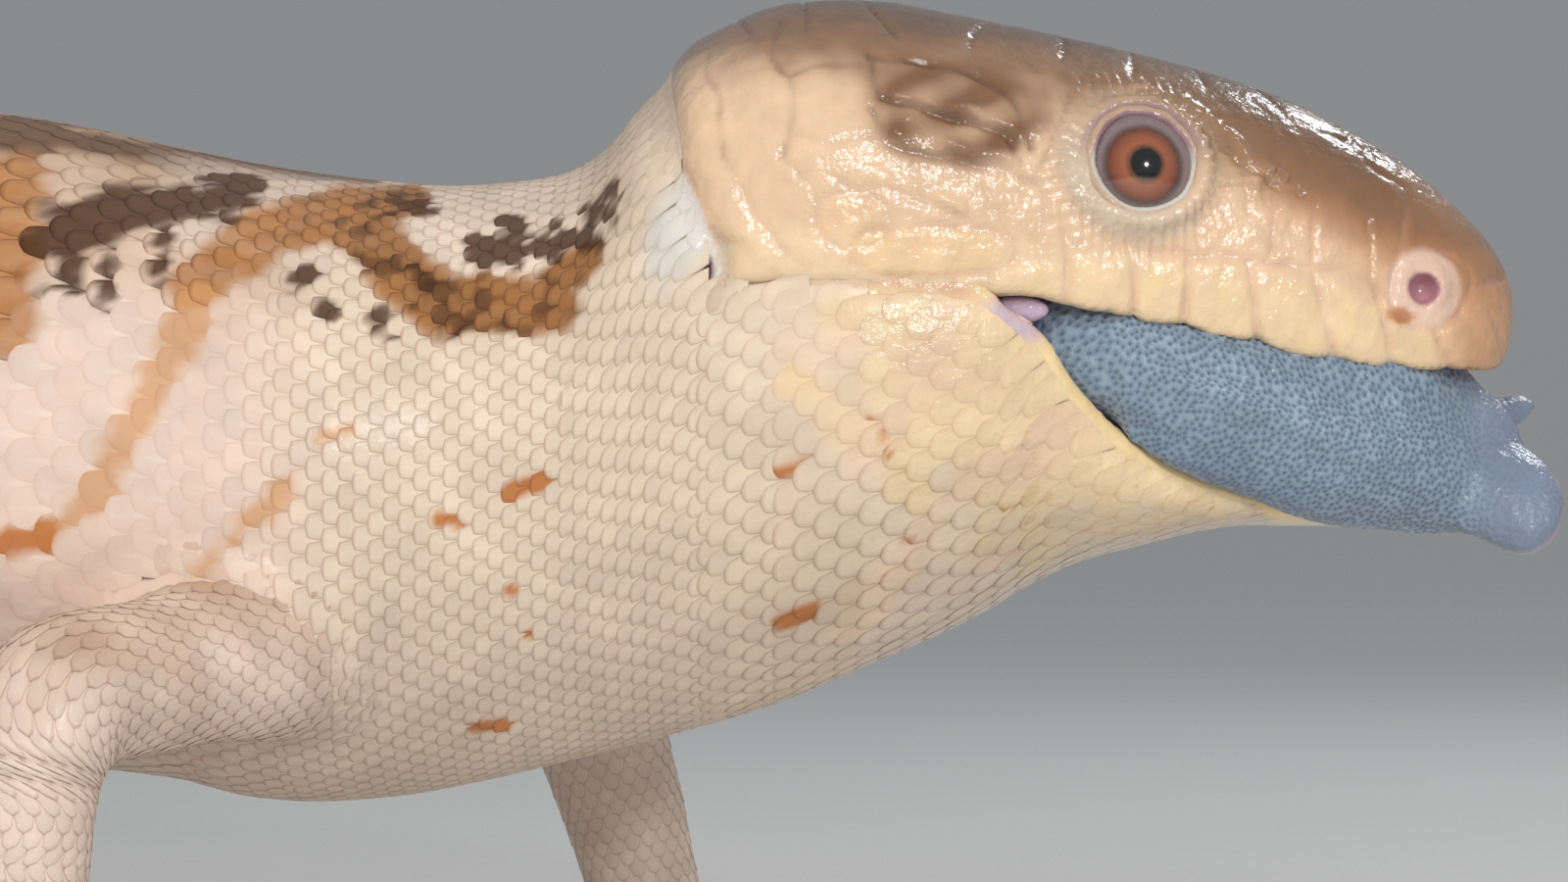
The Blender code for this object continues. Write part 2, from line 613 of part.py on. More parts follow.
def make_lid(side):
    bpy.ops.mesh.primitive_torus_add(
        major_segments=22, minor_segments=8, major_radius=EYE["lid"] * MM,
        minor_radius=EYE["lid_thick"] * MM,
    )
    lid = adopt("lid")
    place = Vector(beside(EYE["at"], side)) + gaze(side) @ Vector((0, 0, EYE["lid_out"]))
    lid.data.transform(Matrix.Translation(place * MM) @ gaze(side).to_4x4())
    return lid


def make_head():
    rings, around = DETAIL["head"]
    stations = head_stations(0.02, NECK_CUT - PART_GAP / 2, 0.0, rings)
    head = new_object("head", head_loft(head_half, stations, around, True), "head")
    extras, holes = [], []
    for side in (-1, 1):
        extras.append(make_lid(side))
        socket = [half + PART_GAP for half in EYE["half"]]
        holes.append(ball("socket", beside(EYE["at"], side), socket, gaze(side), 22, 12))
        rim_at = beside(NOSTRIL["at"], side, -NOSTRIL_RIM["sink"])
        extras.append(ball("rim", rim_at, NOSTRIL_RIM["half"], segments=14, rings=8))
        hole_at = beside(NOSTRIL["at"], side, NOSTRIL["sink"])
        holes.append(ball("nostril", hole_at, NOSTRIL["half"], segments=10, rings=6))
        holes.append(ball("ear_cup", beside(EAR["at"], side), EAR["half"], segments=12, rings=8))
    apply_boolean(head, extras, "UNION")
    apply_boolean(head, holes, "DIFFERENCE")
    largest_surface(head)


def make_eyes_and_ears():
    for side, name in ((-1, "right"), (1, "left")):
        eye = ball("eye_" + name, beside(EYE["at"], side), EYE["half"], gaze(side), 16, 9)
        eye.data.materials.append(material("eye"))
        cup = [half - PART_GAP for half in EAR["half"]]
        drum = ball("ear_" + name, beside(EAR["at"], side), cup, segments=12, rings=8)
        cut_at = beside(EAR["at"], side, -EAR["drum_depth"])
        drum.data = cut_in_two(drum, cut_at, (0, side, 0))[0]
        drum.data.materials.append(material("ear"))


def make_jaw():
    rings, around = DETAIL["jaw"]
    stations = head_stations(JAW_TIP + 0.03, NECK_CUT - PART_GAP / 2, JAW_TIP, rings)
    new_object("lower_jaw", head_loft(jaw_half, stations, around, False), "lower_jaw")


def make_tongue():
    """The tongue's broad body and its two tips, cut clear of the lips that it lies between."""
    count, around = DETAIL["tongue"]
    rings = [tongue_ring(*row, around, TONGUE_SQUARENESS) for row in curve_through(TONGUE, count)]
    tongue = new_object("tongue", loft(rings), "tongue")
    lobes = [tongue_lobe("near_lobe", NEAR_LOBE), tongue_lobe("far_lobe", FAR_LOBE)]
    apply_boolean(tongue, lobes, "UNION")
    count, around = DETAIL["roof"]
    roof = head_loft(head_half, head_stations(0.02, MOUTH_DEPTH, 0.0, count), around, False)
    count, around = DETAIL["floor"]
    floor_stations = head_stations(JAW_TIP + 0.03, MOUTH_DEPTH, JAW_TIP, count)
    floor = head_loft(jaw_half, floor_stations, around, False)
    roof = new_object("roof", grown(roof, PART_GAP + LIP_CLEARANCE), None)
    floor = new_object("floor", grown(floor, PART_GAP), None)
    apply_boolean(tongue, [roof, floor], "DIFFERENCE")
    largest_surface(tongue)


def tongue_ring(x, y, z, wide, thick, roll, around, squareness):
    """A flat oval across the tongue, turned about its length by roll."""
    turn = math.radians(roll)
    ring = []
    for a in np.linspace(0, 2 * math.pi, around, endpoint=False):
        u = wide * math.copysign(abs(math.cos(a)) ** squareness, math.cos(a))
        v = thick * math.copysign(abs(math.sin(a)) ** squareness, math.sin(a))
        across, up = u * math.cos(turn) - v * math.sin(turn), u * math.sin(turn) + v * math.cos(turn)
        ring.append((x, y + across, z + up))
    return ring


def tongue_lobe(name, knots):
    count, around = DETAIL["lobe"]
    rings = []
    for x, y, z, wide in curve_through(knots, count):
        rings.append(tongue_ring(x, y, z, wide, wide * LOBE_FLATNESS, LOBE_ROLL, around, 1.0))
    return new_object(name, loft(rings), None)


def grown(mesh, by):
    """The mesh swollen along its normals."""
    bm = bmesh.new()
    bm.from_mesh(mesh)
    bm.normal_update()
    moved = [(v, v.co + v.normal * by * MM) for v in bm.verts]
    for vert, place in moved:
        vert.co = place
    bm.to_mesh(mesh)
    bm.free()
    return mesh


def make_leg(name, leg):
    """One leg: upper and lower length and the foot, parted at the elbow or knee and the wrist or ankle."""
    side = leg["side"]
    station = leg["station"]
    knots = []
    for (ahead, out, up), radius in zip(leg["path"], leg["radius"]):
        knots.append((*in_world(station, side * out, up, ahead), radius))
    count, sides = DETAIL["limb"]
    smooth = curve_through(knots, count)
    limb = tube(name, smooth[:, :3], smooth[:, 3], sides)
    ahead, out, heading = leg["foot"]
    palm = in_world(station, side * out, PALM[2] - SOLE_SINK, ahead)
    turn = math.radians(heading) * -side - on_line(station)[2]
    pieces = [ball("palm", palm, PALM, Matrix.Rotation(turn, 3, "Z"), 12, 7)]
    pieces += toes(palm, turn, side, leg["toes"])
    apply_boolean(limb, pieces, "UNION")
    front, back = station - ROOT_BODY["front"], station + ROOT_BODY["back"]
    body = trunk_length(front, back, ROOT_BODY["spacing"], ROOT_BODY["around"], PART_GAP)
    apply_boolean(limb, [new_object("body", body, None)], "DIFFERENCE")
    largest_surface(limb)
    cut_flat(limb)
    before, bend, after = (Vector(knot[:3]) for knot in knots[leg["bend"] - 1 : leg["bend"] + 2])
    across = (bend - before).normalized() + (after - bend).normalized()
    upper, rest = cut_in_two(limb, bend, across)
    limb.data = rest
    lower, foot = cut_in_two(limb, Vector((0, 0, WRIST_HEIGHT)), Vector((0, 0, -1)))
    bpy.data.objects.remove(limb)
    pair, which = name.split("_")
    for part, mesh in zip(LEG_PARTS[pair], (upper, lower, foot)):
        largest_surface(new_object(f"{part}_{which}", mesh, "leg"))


def toes(palm, turn, side, lengths):
    """Five toes fanned round the front of the palm, each with its claw."""
    made = []
    for k, (spread, length) in enumerate(zip(TOE_SPREAD, lengths)):
        angle = turn + math.radians(spread) * side
        way = Vector((math.cos(angle), math.sin(angle), 0))
        root = Vector((palm.x, palm.y, 0)) + way * PALM[1] * TOE_ROOT
        reach = PALM[1] * (1 - TOE_ROOT) + length
        points = [root + way * reach * share + Vector((0, 0, z)) for share, z, _ in TOE]
        made.append(tube(f"toe_{k}", points, [radius for _, _, radius in TOE], DETAIL["toe"]))
        tip = root + way * reach
        points = [tip + way * past + Vector((0, 0, z)) for past, z, _ in CLAW]
        made.append(tube(f"claw_{k}", points, [radius for _, _, radius in CLAW], DETAIL["claw"]))
    return made


def centre_on_floor():
    """Moves the whole model so that the middle of its footprint is the origin."""
    corners = np.array([v.co for obj in SKINK.objects for v in obj.data.vertices])
    middle = (corners.min(axis=0) + corners.max(axis=0)) / 2
    for obj in SKINK.objects:
        obj.data.transform(Matrix.Translation((-middle[0], -middle[1], 0)))


for old in list(bpy.data.objects):
    bpy.data.objects.remove(old)
SKINK = bpy.data.collections.new("blue_tongued_skink")
bpy.context.scene.collection.children.link(SKINK)
make_trunk()
make_head()
make_jaw()
make_eyes_and_ears()
make_tongue()
for leg_name, leg_sizes in LEGS.items():
    make_leg(leg_name, leg_sizes)
centre_on_floor()
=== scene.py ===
# Looks of the blue-tongued skink: skin, scales, head shields, eyes, tongue and claws.
# Sizes are in millimetres along the body's own line, which starts at the snout tip.
import json
import math

import bmesh
import bpy
import numpy as np
from mathutils import Matrix, Vector
from mathutils.bvhtree import BVHTree
from mathutils.kdtree import KDTree

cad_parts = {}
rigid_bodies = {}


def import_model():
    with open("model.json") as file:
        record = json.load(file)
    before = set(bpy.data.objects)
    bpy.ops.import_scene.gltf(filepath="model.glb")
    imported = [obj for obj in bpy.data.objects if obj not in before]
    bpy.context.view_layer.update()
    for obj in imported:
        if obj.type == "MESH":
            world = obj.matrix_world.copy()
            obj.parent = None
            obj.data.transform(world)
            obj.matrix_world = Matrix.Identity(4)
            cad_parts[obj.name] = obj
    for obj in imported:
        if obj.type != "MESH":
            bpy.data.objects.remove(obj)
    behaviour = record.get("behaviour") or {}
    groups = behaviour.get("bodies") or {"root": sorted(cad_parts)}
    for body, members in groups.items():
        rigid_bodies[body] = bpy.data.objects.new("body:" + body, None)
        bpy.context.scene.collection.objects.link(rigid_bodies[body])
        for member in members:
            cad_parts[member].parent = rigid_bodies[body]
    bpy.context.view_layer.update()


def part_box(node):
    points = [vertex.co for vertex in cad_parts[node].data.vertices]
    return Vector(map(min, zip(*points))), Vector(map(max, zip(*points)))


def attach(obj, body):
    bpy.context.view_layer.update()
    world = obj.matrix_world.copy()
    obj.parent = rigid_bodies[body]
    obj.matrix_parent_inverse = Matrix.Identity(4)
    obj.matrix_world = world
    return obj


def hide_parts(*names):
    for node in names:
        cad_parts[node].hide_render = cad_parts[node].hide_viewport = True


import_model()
mm = 0.001

# The build of the body, the same sizes as the solids have
build = {
    "snoutX": 54.5, "length": 495.0, "jawTip": 9.0, "corner": 37.8, "neck": 67.5,
    "top": [
        (0, 54.1), (0.15, 55.5), (1.3, 58.2), (3.8, 61.1), (7.4, 64.2), (11.7, 66.8), (16.4, 69.1),
        (20, 70.4), (26.5, 72.2), (32.3, 73.5), (39.9, 75.0), (47.1, 76.1), (51, 76.0), (54.6, 75.2),
        (57.1, 74.0), (59.5, 72.4), (61, 70.9), (62.2, 69.6), (63.1, 68.3), (64.9, 65.9), (66.5, 64.7),
        (68.5, 63.8), (71.6, 63.3), (76, 63.0), (80.7, 63.3), (88, 64.2), (94.9, 65.5), (102, 67.1),
        (109, 68.2), (117, 68.9), (126, 68.8), (140, 67), (155, 63.8), (175, 59), (195, 54.6),
        (220, 50.1), (245, 46.1), (267, 42.2), (287, 37.9), (305, 33.5), (321, 29.8), (345, 26),
        (380, 21), (420, 15.8), (455, 10.8), (480, 6.6), (491, 4), (495, 2.2),
    ],
    "underside": [
        (9, 39.2), (9.8, 38.3), (14.7, 38.5), (19.2, 38.5), (22.5, 38.1), (27, 37), (31.2, 35.9),
        (34.8, 34.2), (38.5, 32), (42.7, 30), (47.5, 28), (52.4, 25.9), (59.5, 23.7), (69.4, 21.2),
        (73.7, 20.2), (80.7, 19), (85.7, 18.7), (90.1, 19), (96, 20.4), (104, 21.2), (113, 20.8),
        (122, 19), (135, 14.5), (155, 8.5), (175, 3.4), (192, 0.3), (205, -0.5), (262, -0.5),
        (285, 0.6), (303, 2.0), (318, 1.2), (335, -0.2), (360, -0.4), (455, -0.4), (485, -0.2),
        (495, 1.0),
    ],
    "halfWidth": [
        (0, 0), (0.5, 2.9), (1.5, 4.9), (3.5, 7.1), (6.5, 9.1), (9, 10.3), (12, 11.5), (16, 13.0),
        (20, 14.2), (24, 15.2), (28.5, 16.4), (33, 17.8), (38, 19.4), (45, 21.3), (52, 22.4),
        (58, 22.3), (63, 21.4), (68, 20.8), (75, 22), (84, 25), (95, 27.6), (108, 30), (120, 32),
        (135, 34.4), (155, 37), (175, 38.4), (195, 38.8), (220, 37.5), (245, 34), (267, 29.5),
        (287, 24.6), (305, 19.4), (321, 16.3), (345, 14.2), (380, 11.6), (420, 8.8), (455, 6.1),
        (480, 3.7), (491, 2.1), (495, 0.9),
    ],
    "widestShare": [(67, 0.51), (90, 0.46), (120, 0.43), (300, 0.45), (495, 0.48)],
    "topSquareness": [(0, 2.1), (10, 2.3), (28, 2.6), (50, 2.5), (75, 2.2), (495, 2.1)],
    "lowSquareness": [(9, 2.0), (30, 2.2), (60, 2.2), (110, 2.3), (200, 2.7), (495, 2.2)],
    "lipLine": [
        (0, 53.6), (0.5, 51.6), (1.2, 50.0), (2.4, 49.5), (5.7, 49.9), (11.8, 50.3), (16.9, 51.0),
        (21.3, 52.1), (26.4, 53.1), (31.4, 53.9), (35.3, 54.3), (44.1, 54.8), (54.5, 55.4), (60, 53),
        (64, 48.5), (67.5, 44.2),
    ],
    "cheekRise": [(0, 0.4), (3, 3.2), (28, 3.6), (40, 5), (52, 6), (60, 4), (67.5, 0.05)],
    "lipTuck": [(0, 0.2), (3, 0.5), (30, 0.7), (45, 0.6), (60, 0.2), (67.5, 0.02)],
    "lipShields": (4.6, 9.6, 13.4, 19.4, 25.2, 30.0, 34.6), "scallop": 0.42,
    "jawLip": [
        (9, 39.9), (11.5, 40.1), (16.7, 40.8), (21.2, 41.7), (24.1, 42.7), (26.7, 43.9),
        (29.1, 45.3), (31, 47.1), (32.7, 49), (34.6, 52), (37.8, 54.1),
    ],
    "jawWidth": [
        (9, 0), (9.5, 2.7), (11, 4.9), (13, 6.7), (16, 8.8), (20, 10.9), (25, 13.2), (30, 15.4),
        (34, 17.3), (38, 19.4), (45, 21.4), (52, 22.4), (58, 22.3), (63, 21.4), (68, 20.8),
    ],
    "jowlDrop": [(9, 0.5), (20, 1.4), (32, 3), (45, 5), (55, 5), (62, 3), (67.5, 0.05)],
    "palateRise": 1.2, "mouthFloorDrop": 1.2,
    "heading": [(0, 0), (120, 0), (180, 8), (245, 13), (300, 0), (350, -22), (420, -46), (495, -62)],
}

# Legs in the frame of the body at their station: forward, out and up, then the radius
legs = {
    "foreleg_right": {
        "station": 84, "side": -1, "radius": (6.2, 5.8, 5.3, 5.3, 4.7, 4.1),
        "path": [
            (2, 11, 30), (-3.6, 22, 29.9), (-10, 30.5, 29.2), (-16, 37.6, 27.2), (-17.4, 39.6, 17),
            (-16.6, 40.6, 4)],
        "foot": (-14.8, 42, -34), "toes": (5.0, 6.6, 7.8, 7.2, 5.4),
        "nodes": ("upper_arm_right", "forearm_right", "forefoot_right"),
    },
    "foreleg_left": {
        "station": 84, "side": 1, "radius": (6.2, 5.9, 5.4, 5.6, 5.3, 4.3),
        "path": [(2, 11, 30), (2.6, 22, 29.8), (8, 31, 28.4), (14.6, 38, 25.4), (18, 40, 17), (21.4, 40.6, 4)],
        "foot": (23.4, 41.6, -20), "toes": (5.0, 6.6, 7.8, 7.2, 5.4),
        "nodes": ("upper_arm_left", "forearm_left", "forefoot_left"),
    },
    "hindleg_right": {
        "station": 272, "side": -1, "radius": (10.5, 9.6, 7.6, 6.4, 5.6, 4.6),
        "path": [(-4, 10, 16), (2, 24, 17), (11, 37, 17.5), (16, 45, 15.6), (8, 52, 12), (1, 57.5, 4)],
        "foot": (3.4, 60, -36), "toes": (4.8, 6.6, 8.2, 9.0, 6.2),
        "nodes": ("thigh_right", "shank_right", "hindfoot_right"),
    },
    "hindleg_left": {
        "station": 272, "side": 1, "radius": (10.5, 9.6, 7.6, 6.4, 5.6, 4.6),
        "path": [(-4, 10, 16), (-1, 24, 17), (5, 37, 17.2), (7, 45, 15.4), (-2, 51, 12), (-9, 56, 4)],
        "foot": (-6.8, 58, -30), "toes": (4.8, 6.6, 8.2, 9.0, 6.2),
        "nodes": ("thigh_left", "shank_left", "hindfoot_left"),
    },
}
# Eye: middle, half sizes, turn up and forward, the lid's roll, the rim on it, and the way it looks
eye = {
    "at": (26.0, 12.5, 63.2), "half": (5.0, 5.0, 4.2), "up": 14, "forward": 12, "wide": 1.08,
    "lid": 4.3, "lidThick": 0.65, "lidOut": 2.95, "rimWide": 3.76, "rimThick": 0.44, "rimOut": 2.92,
    "look": (0.205, 0.11), "bulge": 0.3, "lidZone": 5.2,
    # rings of granules round it: radius, how many, height
    "beads": ((4.5, 34, 0.10), (5.05, 37, 0.17), (5.7, 41, 0.17), (6.35, 45, 0.12), (7.0, 49, 0.07)),
}
nostril = {"at": (46.9, 9.1, 55.3), "radius": 1.05, "rim": 2.2, "depth": 1.6}


# Profiles, the body's line and its sections

def along(knots, at, start=0.0):
    place = np.sqrt(np.maximum(np.array([k[0] for k in knots], float) - start, 0))
    value = np.array([k[1] for k in knots], float)
    x = np.clip(np.sqrt(np.maximum(np.asarray(at, float) - start, 0)), place[0], place[-1])
    step = np.diff(place)
    slope = np.diff(value) / step
    safe = np.where(slope == 0, 1.0, slope)
    near, far = 2 * step[1:] + step[:-1], step[1:] + 2 * step[:-1]
    tangent = np.zeros(len(value))
    blended = (near + far) / (near / safe[:-1] + far / safe[1:])
    tangent[1:-1] = np.where(slope[:-1] * slope[1:] > 0, blended, 0.0)
    tangent[0], tangent[-1] = slope[0], slope[-1]
    i = np.clip(np.searchsorted(place, x, side="right") - 1, 0, len(step) - 1)
    t, h = (x - place[i]) / step[i], step[i]
    low = (1 + 2 * t) * (1 - t) ** 2 * value[i] + t * (1 - t) ** 2 * h * tangent[i]
    return low + t * t * (3 - 2 * t) * value[i + 1] + t * t * (t - 1) * h * tangent[i + 1]


lineStep = 0.5
lineAt = np.arange(0, build["length"] + lineStep, lineStep)
lineTurn = np.radians(along(build["heading"], lineAt))
lineX = build["snoutX"] - np.concatenate([[0], np.cumsum(np.cos(lineTurn[1:]) * lineStep)])
lineY = np.concatenate([[0], np.cumsum(np.sin(lineTurn[1:]) * lineStep)])


def onLine(station):
    return (np.interp(station, lineAt, data) for data in (lineX, lineY, lineTurn))


def inBody(station, out, height, forward=0.0):
    # from the body's frame at a station to the model's own millimetres
    x, y, turn = onLine(station)
    return np.stack([
        x + np.cos(turn) * forward + np.sin(turn) * out,
        y - np.sin(turn) * forward + np.cos(turn) * out,
        np.broadcast_to(height, np.shape(x + np.asarray(out, float))),
    ], axis=-1)


eyeLow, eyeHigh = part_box("eye_right")
shift = [(eyeLow[k] + eyeHigh[k]) / 2 / mm - (eye["at"][0], -eye["at"][1], eye["at"][2])[k] for k in range(3)]


def toScene(points):
    return (np.asarray(points, float) + shift) * mm


def quarter(start, end, squareness, bulgeFirst, count=14):
    turn = np.linspace(0, math.pi / 2, count)
    rise, fall = np.sin(turn) ** (2 / squareness), np.cos(turn) ** (2 / squareness)
    if bulgeFirst:
        return np.column_stack([start[0] + (end[0] - start[0]) * rise, end[1] + (start[1] - end[1]) * fall])
    return np.column_stack([end[0] + (start[0] - end[0]) * fall, start[1] + (end[1] - start[1]) * rise])


def evenly(points, count):
    run = np.concatenate([[0], np.cumsum(np.linalg.norm(np.diff(points, axis=0), axis=1))])
    at = np.linspace(0, run[-1], count)
    return np.column_stack([np.interp(at, run, points[:, k]) for k in range(2)]), at


def bodyHalf(station, count, fine=40):
    top, low = along(build["top"], station), along(build["underside"], station, build["jawTip"])
    wide = along(build["halfWidth"], station)
    level = low + (top - low) * along(build["widestShare"], station)
    upper = quarter((0, top), (wide, level), along(build["topSquareness"], station), True, fine)
    lower = quarter((wide, level), (0, low), along(build["lowSquareness"], station), False, fine)
    return evenly(np.vstack([upper, lower[1:]]), count)[0]


def scallop(station):
    for front, back in zip(build["lipShields"][:-1], build["lipShields"][1:]):
        if front <= station <= back:
            t = (station - front) / (back - front)
            return build["scallop"] * math.sqrt(4 * t * (1 - t))
    return 0.0


def openness(station):
    return float(np.clip((build["corner"] - station) / 4.0, 0, 1))


def headHalf(station, count, fine=40):
    lip, wide = float(along(build["lipLine"], station)), float(along(build["halfWidth"], station))
    tuck = min(float(along(build["lipTuck"], station)), wide * 0.3)
    openShare = openness(station)
    edge = lip - scallop(station)
    level = max(lip + float(along(build["cheekRise"], station)), edge + 0.02)
    top, square = float(along(build["top"], station)), float(along(build["topSquareness"], station))
    upper = quarter((0, top), (wide, level), square, True, fine)
    lower = quarter((wide, level), (wide - tuck, edge), 2.4, False, 12)
    outline, run = evenly(np.vstack([upper, lower[1:]]), count)
    inner = wide - tuck - min(1.1, 0.35 * wide) * openShare
    roof = edge + build["palateRise"] * openShare * min(1.0, wide / 8)
    inside = np.array([(inner * 0.97, edge + (roof - edge) * 0.6), (inner * 0.5, roof), (0, roof)])
    return outline, run, inside


def jawHalf(station, count, fine=40):
    start = build["jawTip"]
    width = float(along(build["jawWidth"], station, start))
    low = float(along(build["underside"], station, start))
    openShare = openness(station)
    lip = float(along(build["lipLine"], station))
    if station < build["corner"]:
        lip = float(along(build["jawLip"], station, start))
    tuck = min(float(along(build["lipTuck"], station)), width * 0.3)
    level = max(min(lip - float(along(build["jowlDrop"], station, start)), lip - 0.02), low + 0.4)
    upper = quarter((width - tuck, lip), (width, level), 2.4, True, 12)
    lower = quarter((width, level), (0, low), float(along(build["lowSquareness"], station, start)), False, fine)
    outline, run = evenly(np.vstack([upper, lower[1:]]), count)
    inner = width - tuck - min(1.0, 0.35 * width) * openShare
    floor = lip - min(build["mouthFloorDrop"] * min(1.0, width / 8), (lip - low) * 0.4) * openShare
    inside = np.array([(0, floor), (inner * 0.5, floor), (inner * 0.97, lip - (lip - floor) * 0.6)])
    return outline, run, inside


def bothSides(half):
    return np.vstack([half, (half[1:-1] * (-1, 1))[::-1]])


# Mesh helpers

def pick(obj):
    bpy.ops.object.select_all(action="DESELECT")
    obj.select_set(True)
    bpy.context.view_layer.objects.active = obj
    return obj


def newMesh(name, points, faces):
    mesh = bpy.data.meshes.new(name)
    mesh.from_pydata(np.asarray(points, float).tolist(), [], faces)
    obj = bpy.data.objects.new(name, mesh)
    bpy.context.scene.collection.objects.link(obj)
    return obj


def loft(name, rings):
    count, around = len(rings), len(rings[0])
    faces = []
    for i in range(count - 1):
        for k in range(around):
            n = (k + 1) % around
            faces.append((i * around + k, i * around + n, (i + 1) * around + n, (i + 1) * around + k))
    faces.append(tuple(range(around - 1, -1, -1)))
    faces.append(tuple(range((count - 1) * around, count * around)))
    obj = newMesh(name, toScene(np.vstack(rings)), faces)
    cleanUp(obj)
    return obj


def cleanUp(obj, merge=0.00001):
    bm = bmesh.new()
    bm.from_mesh(obj.data)
    bmesh.ops.remove_doubles(bm, verts=bm.verts, dist=merge)
    bmesh.ops.recalc_face_normals(bm, faces=bm.faces)
    bm.to_mesh(obj.data)
    bm.free()


def applyAll(obj):
    pick(obj)
    for modifier in list(obj.modifiers):
        bpy.ops.object.modifier_apply(modifier=modifier.name)


def remesh(obj, size, smoothing):
    modifier = obj.modifiers.new("remesh", "REMESH")
    modifier.mode = "VOXEL"
    modifier.voxel_size = size * mm
    if smoothing:
        smooth = obj.modifiers.new("smooth", "SMOOTH")
        smooth.factor, smooth.iterations = 0.5, smoothing
    applyAll(obj)
    obj.data.shade_smooth()


def joined(name, pieces):
    pick(pieces[0])
    for piece in pieces:
        piece.select_set(True)
    bpy.ops.object.join()
    whole = bpy.context.view_layer.objects.active
    whole.name = name
    whole.data.name = name
    bpy.ops.object.transform_apply(location=True, rotation=True, scale=True)
    return whole


def carve(obj, cutter, operation="DIFFERENCE"):
    modifier = obj.modifiers.new("carve", "BOOLEAN")
    modifier.operation, modifier.object, modifier.solver = operation, cutter, "EXACT"
    applyAll(obj)
    bpy.data.objects.remove(cutter)


def ball(at, half, segments=40, rings=24):
    bpy.ops.mesh.primitive_uv_sphere_add(segments=segments, ring_count=rings, radius=1)
    obj = bpy.context.active_object
    place = Matrix.Translation(Vector(toScene(at))) @ Matrix.Diagonal((*(Vector(half) * mm), 1))
    obj.data.transform(place)
    return obj


def coords(mesh, what="vertices", key="co"):
    items = getattr(mesh, what)
    data = np.empty(len(items) * 3)
    items.foreach_get(key, data)
    return data.reshape(-1, 3)


def vertexNormals(mesh):
    data = np.empty(len(mesh.vertices) * 3)
    mesh.vertex_normals.foreach_get("vector", data)
    return data.reshape(-1, 3)


def setCoords(mesh, points):
    mesh.vertices.foreach_set("co", np.asarray(points, float).ravel())
    mesh.update()


def setColour(mesh, name, colour):
    layer = mesh.attributes.get(name) or mesh.attributes.new(name, "FLOAT_COLOR", "POINT")
    rgba = np.ones((len(mesh.vertices), 4))
    rgba[:, :3] = colour
    layer.data.foreach_set("color", rgba.ravel())


def flatTint(obj, colour):
    setColour(obj.data, "tint", plain(colour, obj.data.vertices))
    setValue(obj.data, "edge", np.zeros(len(obj.data.vertices)))


def setValue(mesh, name, value):
    layer = mesh.attributes.get(name) or mesh.attributes.new(name, "FLOAT", "POINT")
    layer.data.foreach_set("value", np.asarray(value, float).ravel())


def inModel(points):
    return np.asarray(points) / mm - shift


# Colours and markings

def linear(red, green, blue):
    c = np.array([red, green, blue]) / 255
    return np.where(c <= 0.04045, c / 12.92, ((c + 0.055) / 1.055) ** 2.4)


def waves(points, size, seed):
    # soft even noise between -1 and 1, from a few turned sine waves
    draw = np.random.default_rng(seed)
    total = np.zeros(len(points))
    for k in range(7):
        way = draw.normal(size=3)
        way /= np.linalg.norm(way)
        total += np.sin(points @ way * 2 * math.pi / (size * draw.uniform(0.6, 1.5)) + draw.uniform(0, 6.3))
    return total / 3.5


def palette(**shades):
    return {name: linear(*shade) for name, shade in shades.items()}


def blend(base, colour, share):
    share = np.clip(share, 0, 1)[:, None]
    return base * (1 - share) + colour * share


def paint(tint, colours, *layers):
    # lays named colours over one another, each by its share
    for name, share in layers:
        tint = blend(tint, colours[name], share)
    return tint


def plain(colour, points):
    return np.tile(colour, (len(points), 1))


def ramp(value, low, high):
    t = np.clip((value - low) / (high - low), 0, 1)
    return t * t * (3 - 2 * t)


def spotShare(side, marks, ragged, soft=0.7):
    # how deep each point (station, height) lies in capsule-shaped marks: 1 inside, 0 outside
    share = np.zeros(len(side))
    for s0, z0, s1, z1, half in marks:
        a, b = np.array([s0, z0]), np.array([s1, z1])
        way = b - a
        t = np.clip(((side - a) @ way) / max(way @ way, 1e-6), 0, 1)
        far = np.linalg.norm(side - a - t[:, None] * way, axis=1)
        share = np.maximum(share, np.clip((half - far) / soft + 0.5 + ragged, 0, 1))
    return share


coatColours = palette(
    back=(184, 144, 108), flank=(232, 206, 188), belly=(224, 200, 180), neck=(228, 206, 182),
    throat=(228, 204, 178), jowl=(236, 206, 158), peach=(236, 200, 168), cream=(234, 212, 194),
    brown=(92, 58, 34), charcoal=(80, 47, 25), orange=(184, 126, 76), tan=(152, 102, 58),
    stripe=(212, 152, 98), rust=(192, 116, 56), ear=(214, 212, 204),
    limb=(232, 206, 188), limbTop=(180, 146, 120))
crossbands = {"first": 104, "spacing": ([80, 200, 310, 495], [29, 30, 23, 17]), "slant": 10}
# Marks on the neck, shoulder and throat: station, height, station, height, half width
orangeMarks = [
    (104.9, 62.5, 104.1, 52.6, 2.1), (92.1, 55.4, 88.3, 58.2, 1.7), (88.4, 58.8, 83.3, 60.6, 2.0),
    (83.4, 61.2, 78.7, 61.6, 1.3), (82.1, 59.5, 79.2, 57.2, 1.8), (79.2, 56.7, 75.8, 53.9, 2.0),
    (75.8, 53.9, 68.3, 53.9, 1.9), (68.3, 55.5, 66.2, 57.2, 1.2), (113, 50, 108, 42, 1.6),
    (112, 64, 108, 60, 2.4),
]
stripeMarks = [
    (91.7, 53.8, 93.5, 49.5, 1.2), (93.5, 49.5, 96.0, 45.2, 1.1), (96.0, 45.2, 98.2, 40.5, 1.0),
    (98.2, 40.5, 101.3, 37.9, 0.6), (81.6, 45.5, 83.1, 45.1, 0.5), (85.7, 41.6, 86.9, 40.0, 0.8),
    (87.5, 40.0, 89.5, 37.9, 0.5), (90.3, 37.3, 91.4, 35.8, 0.5),
]
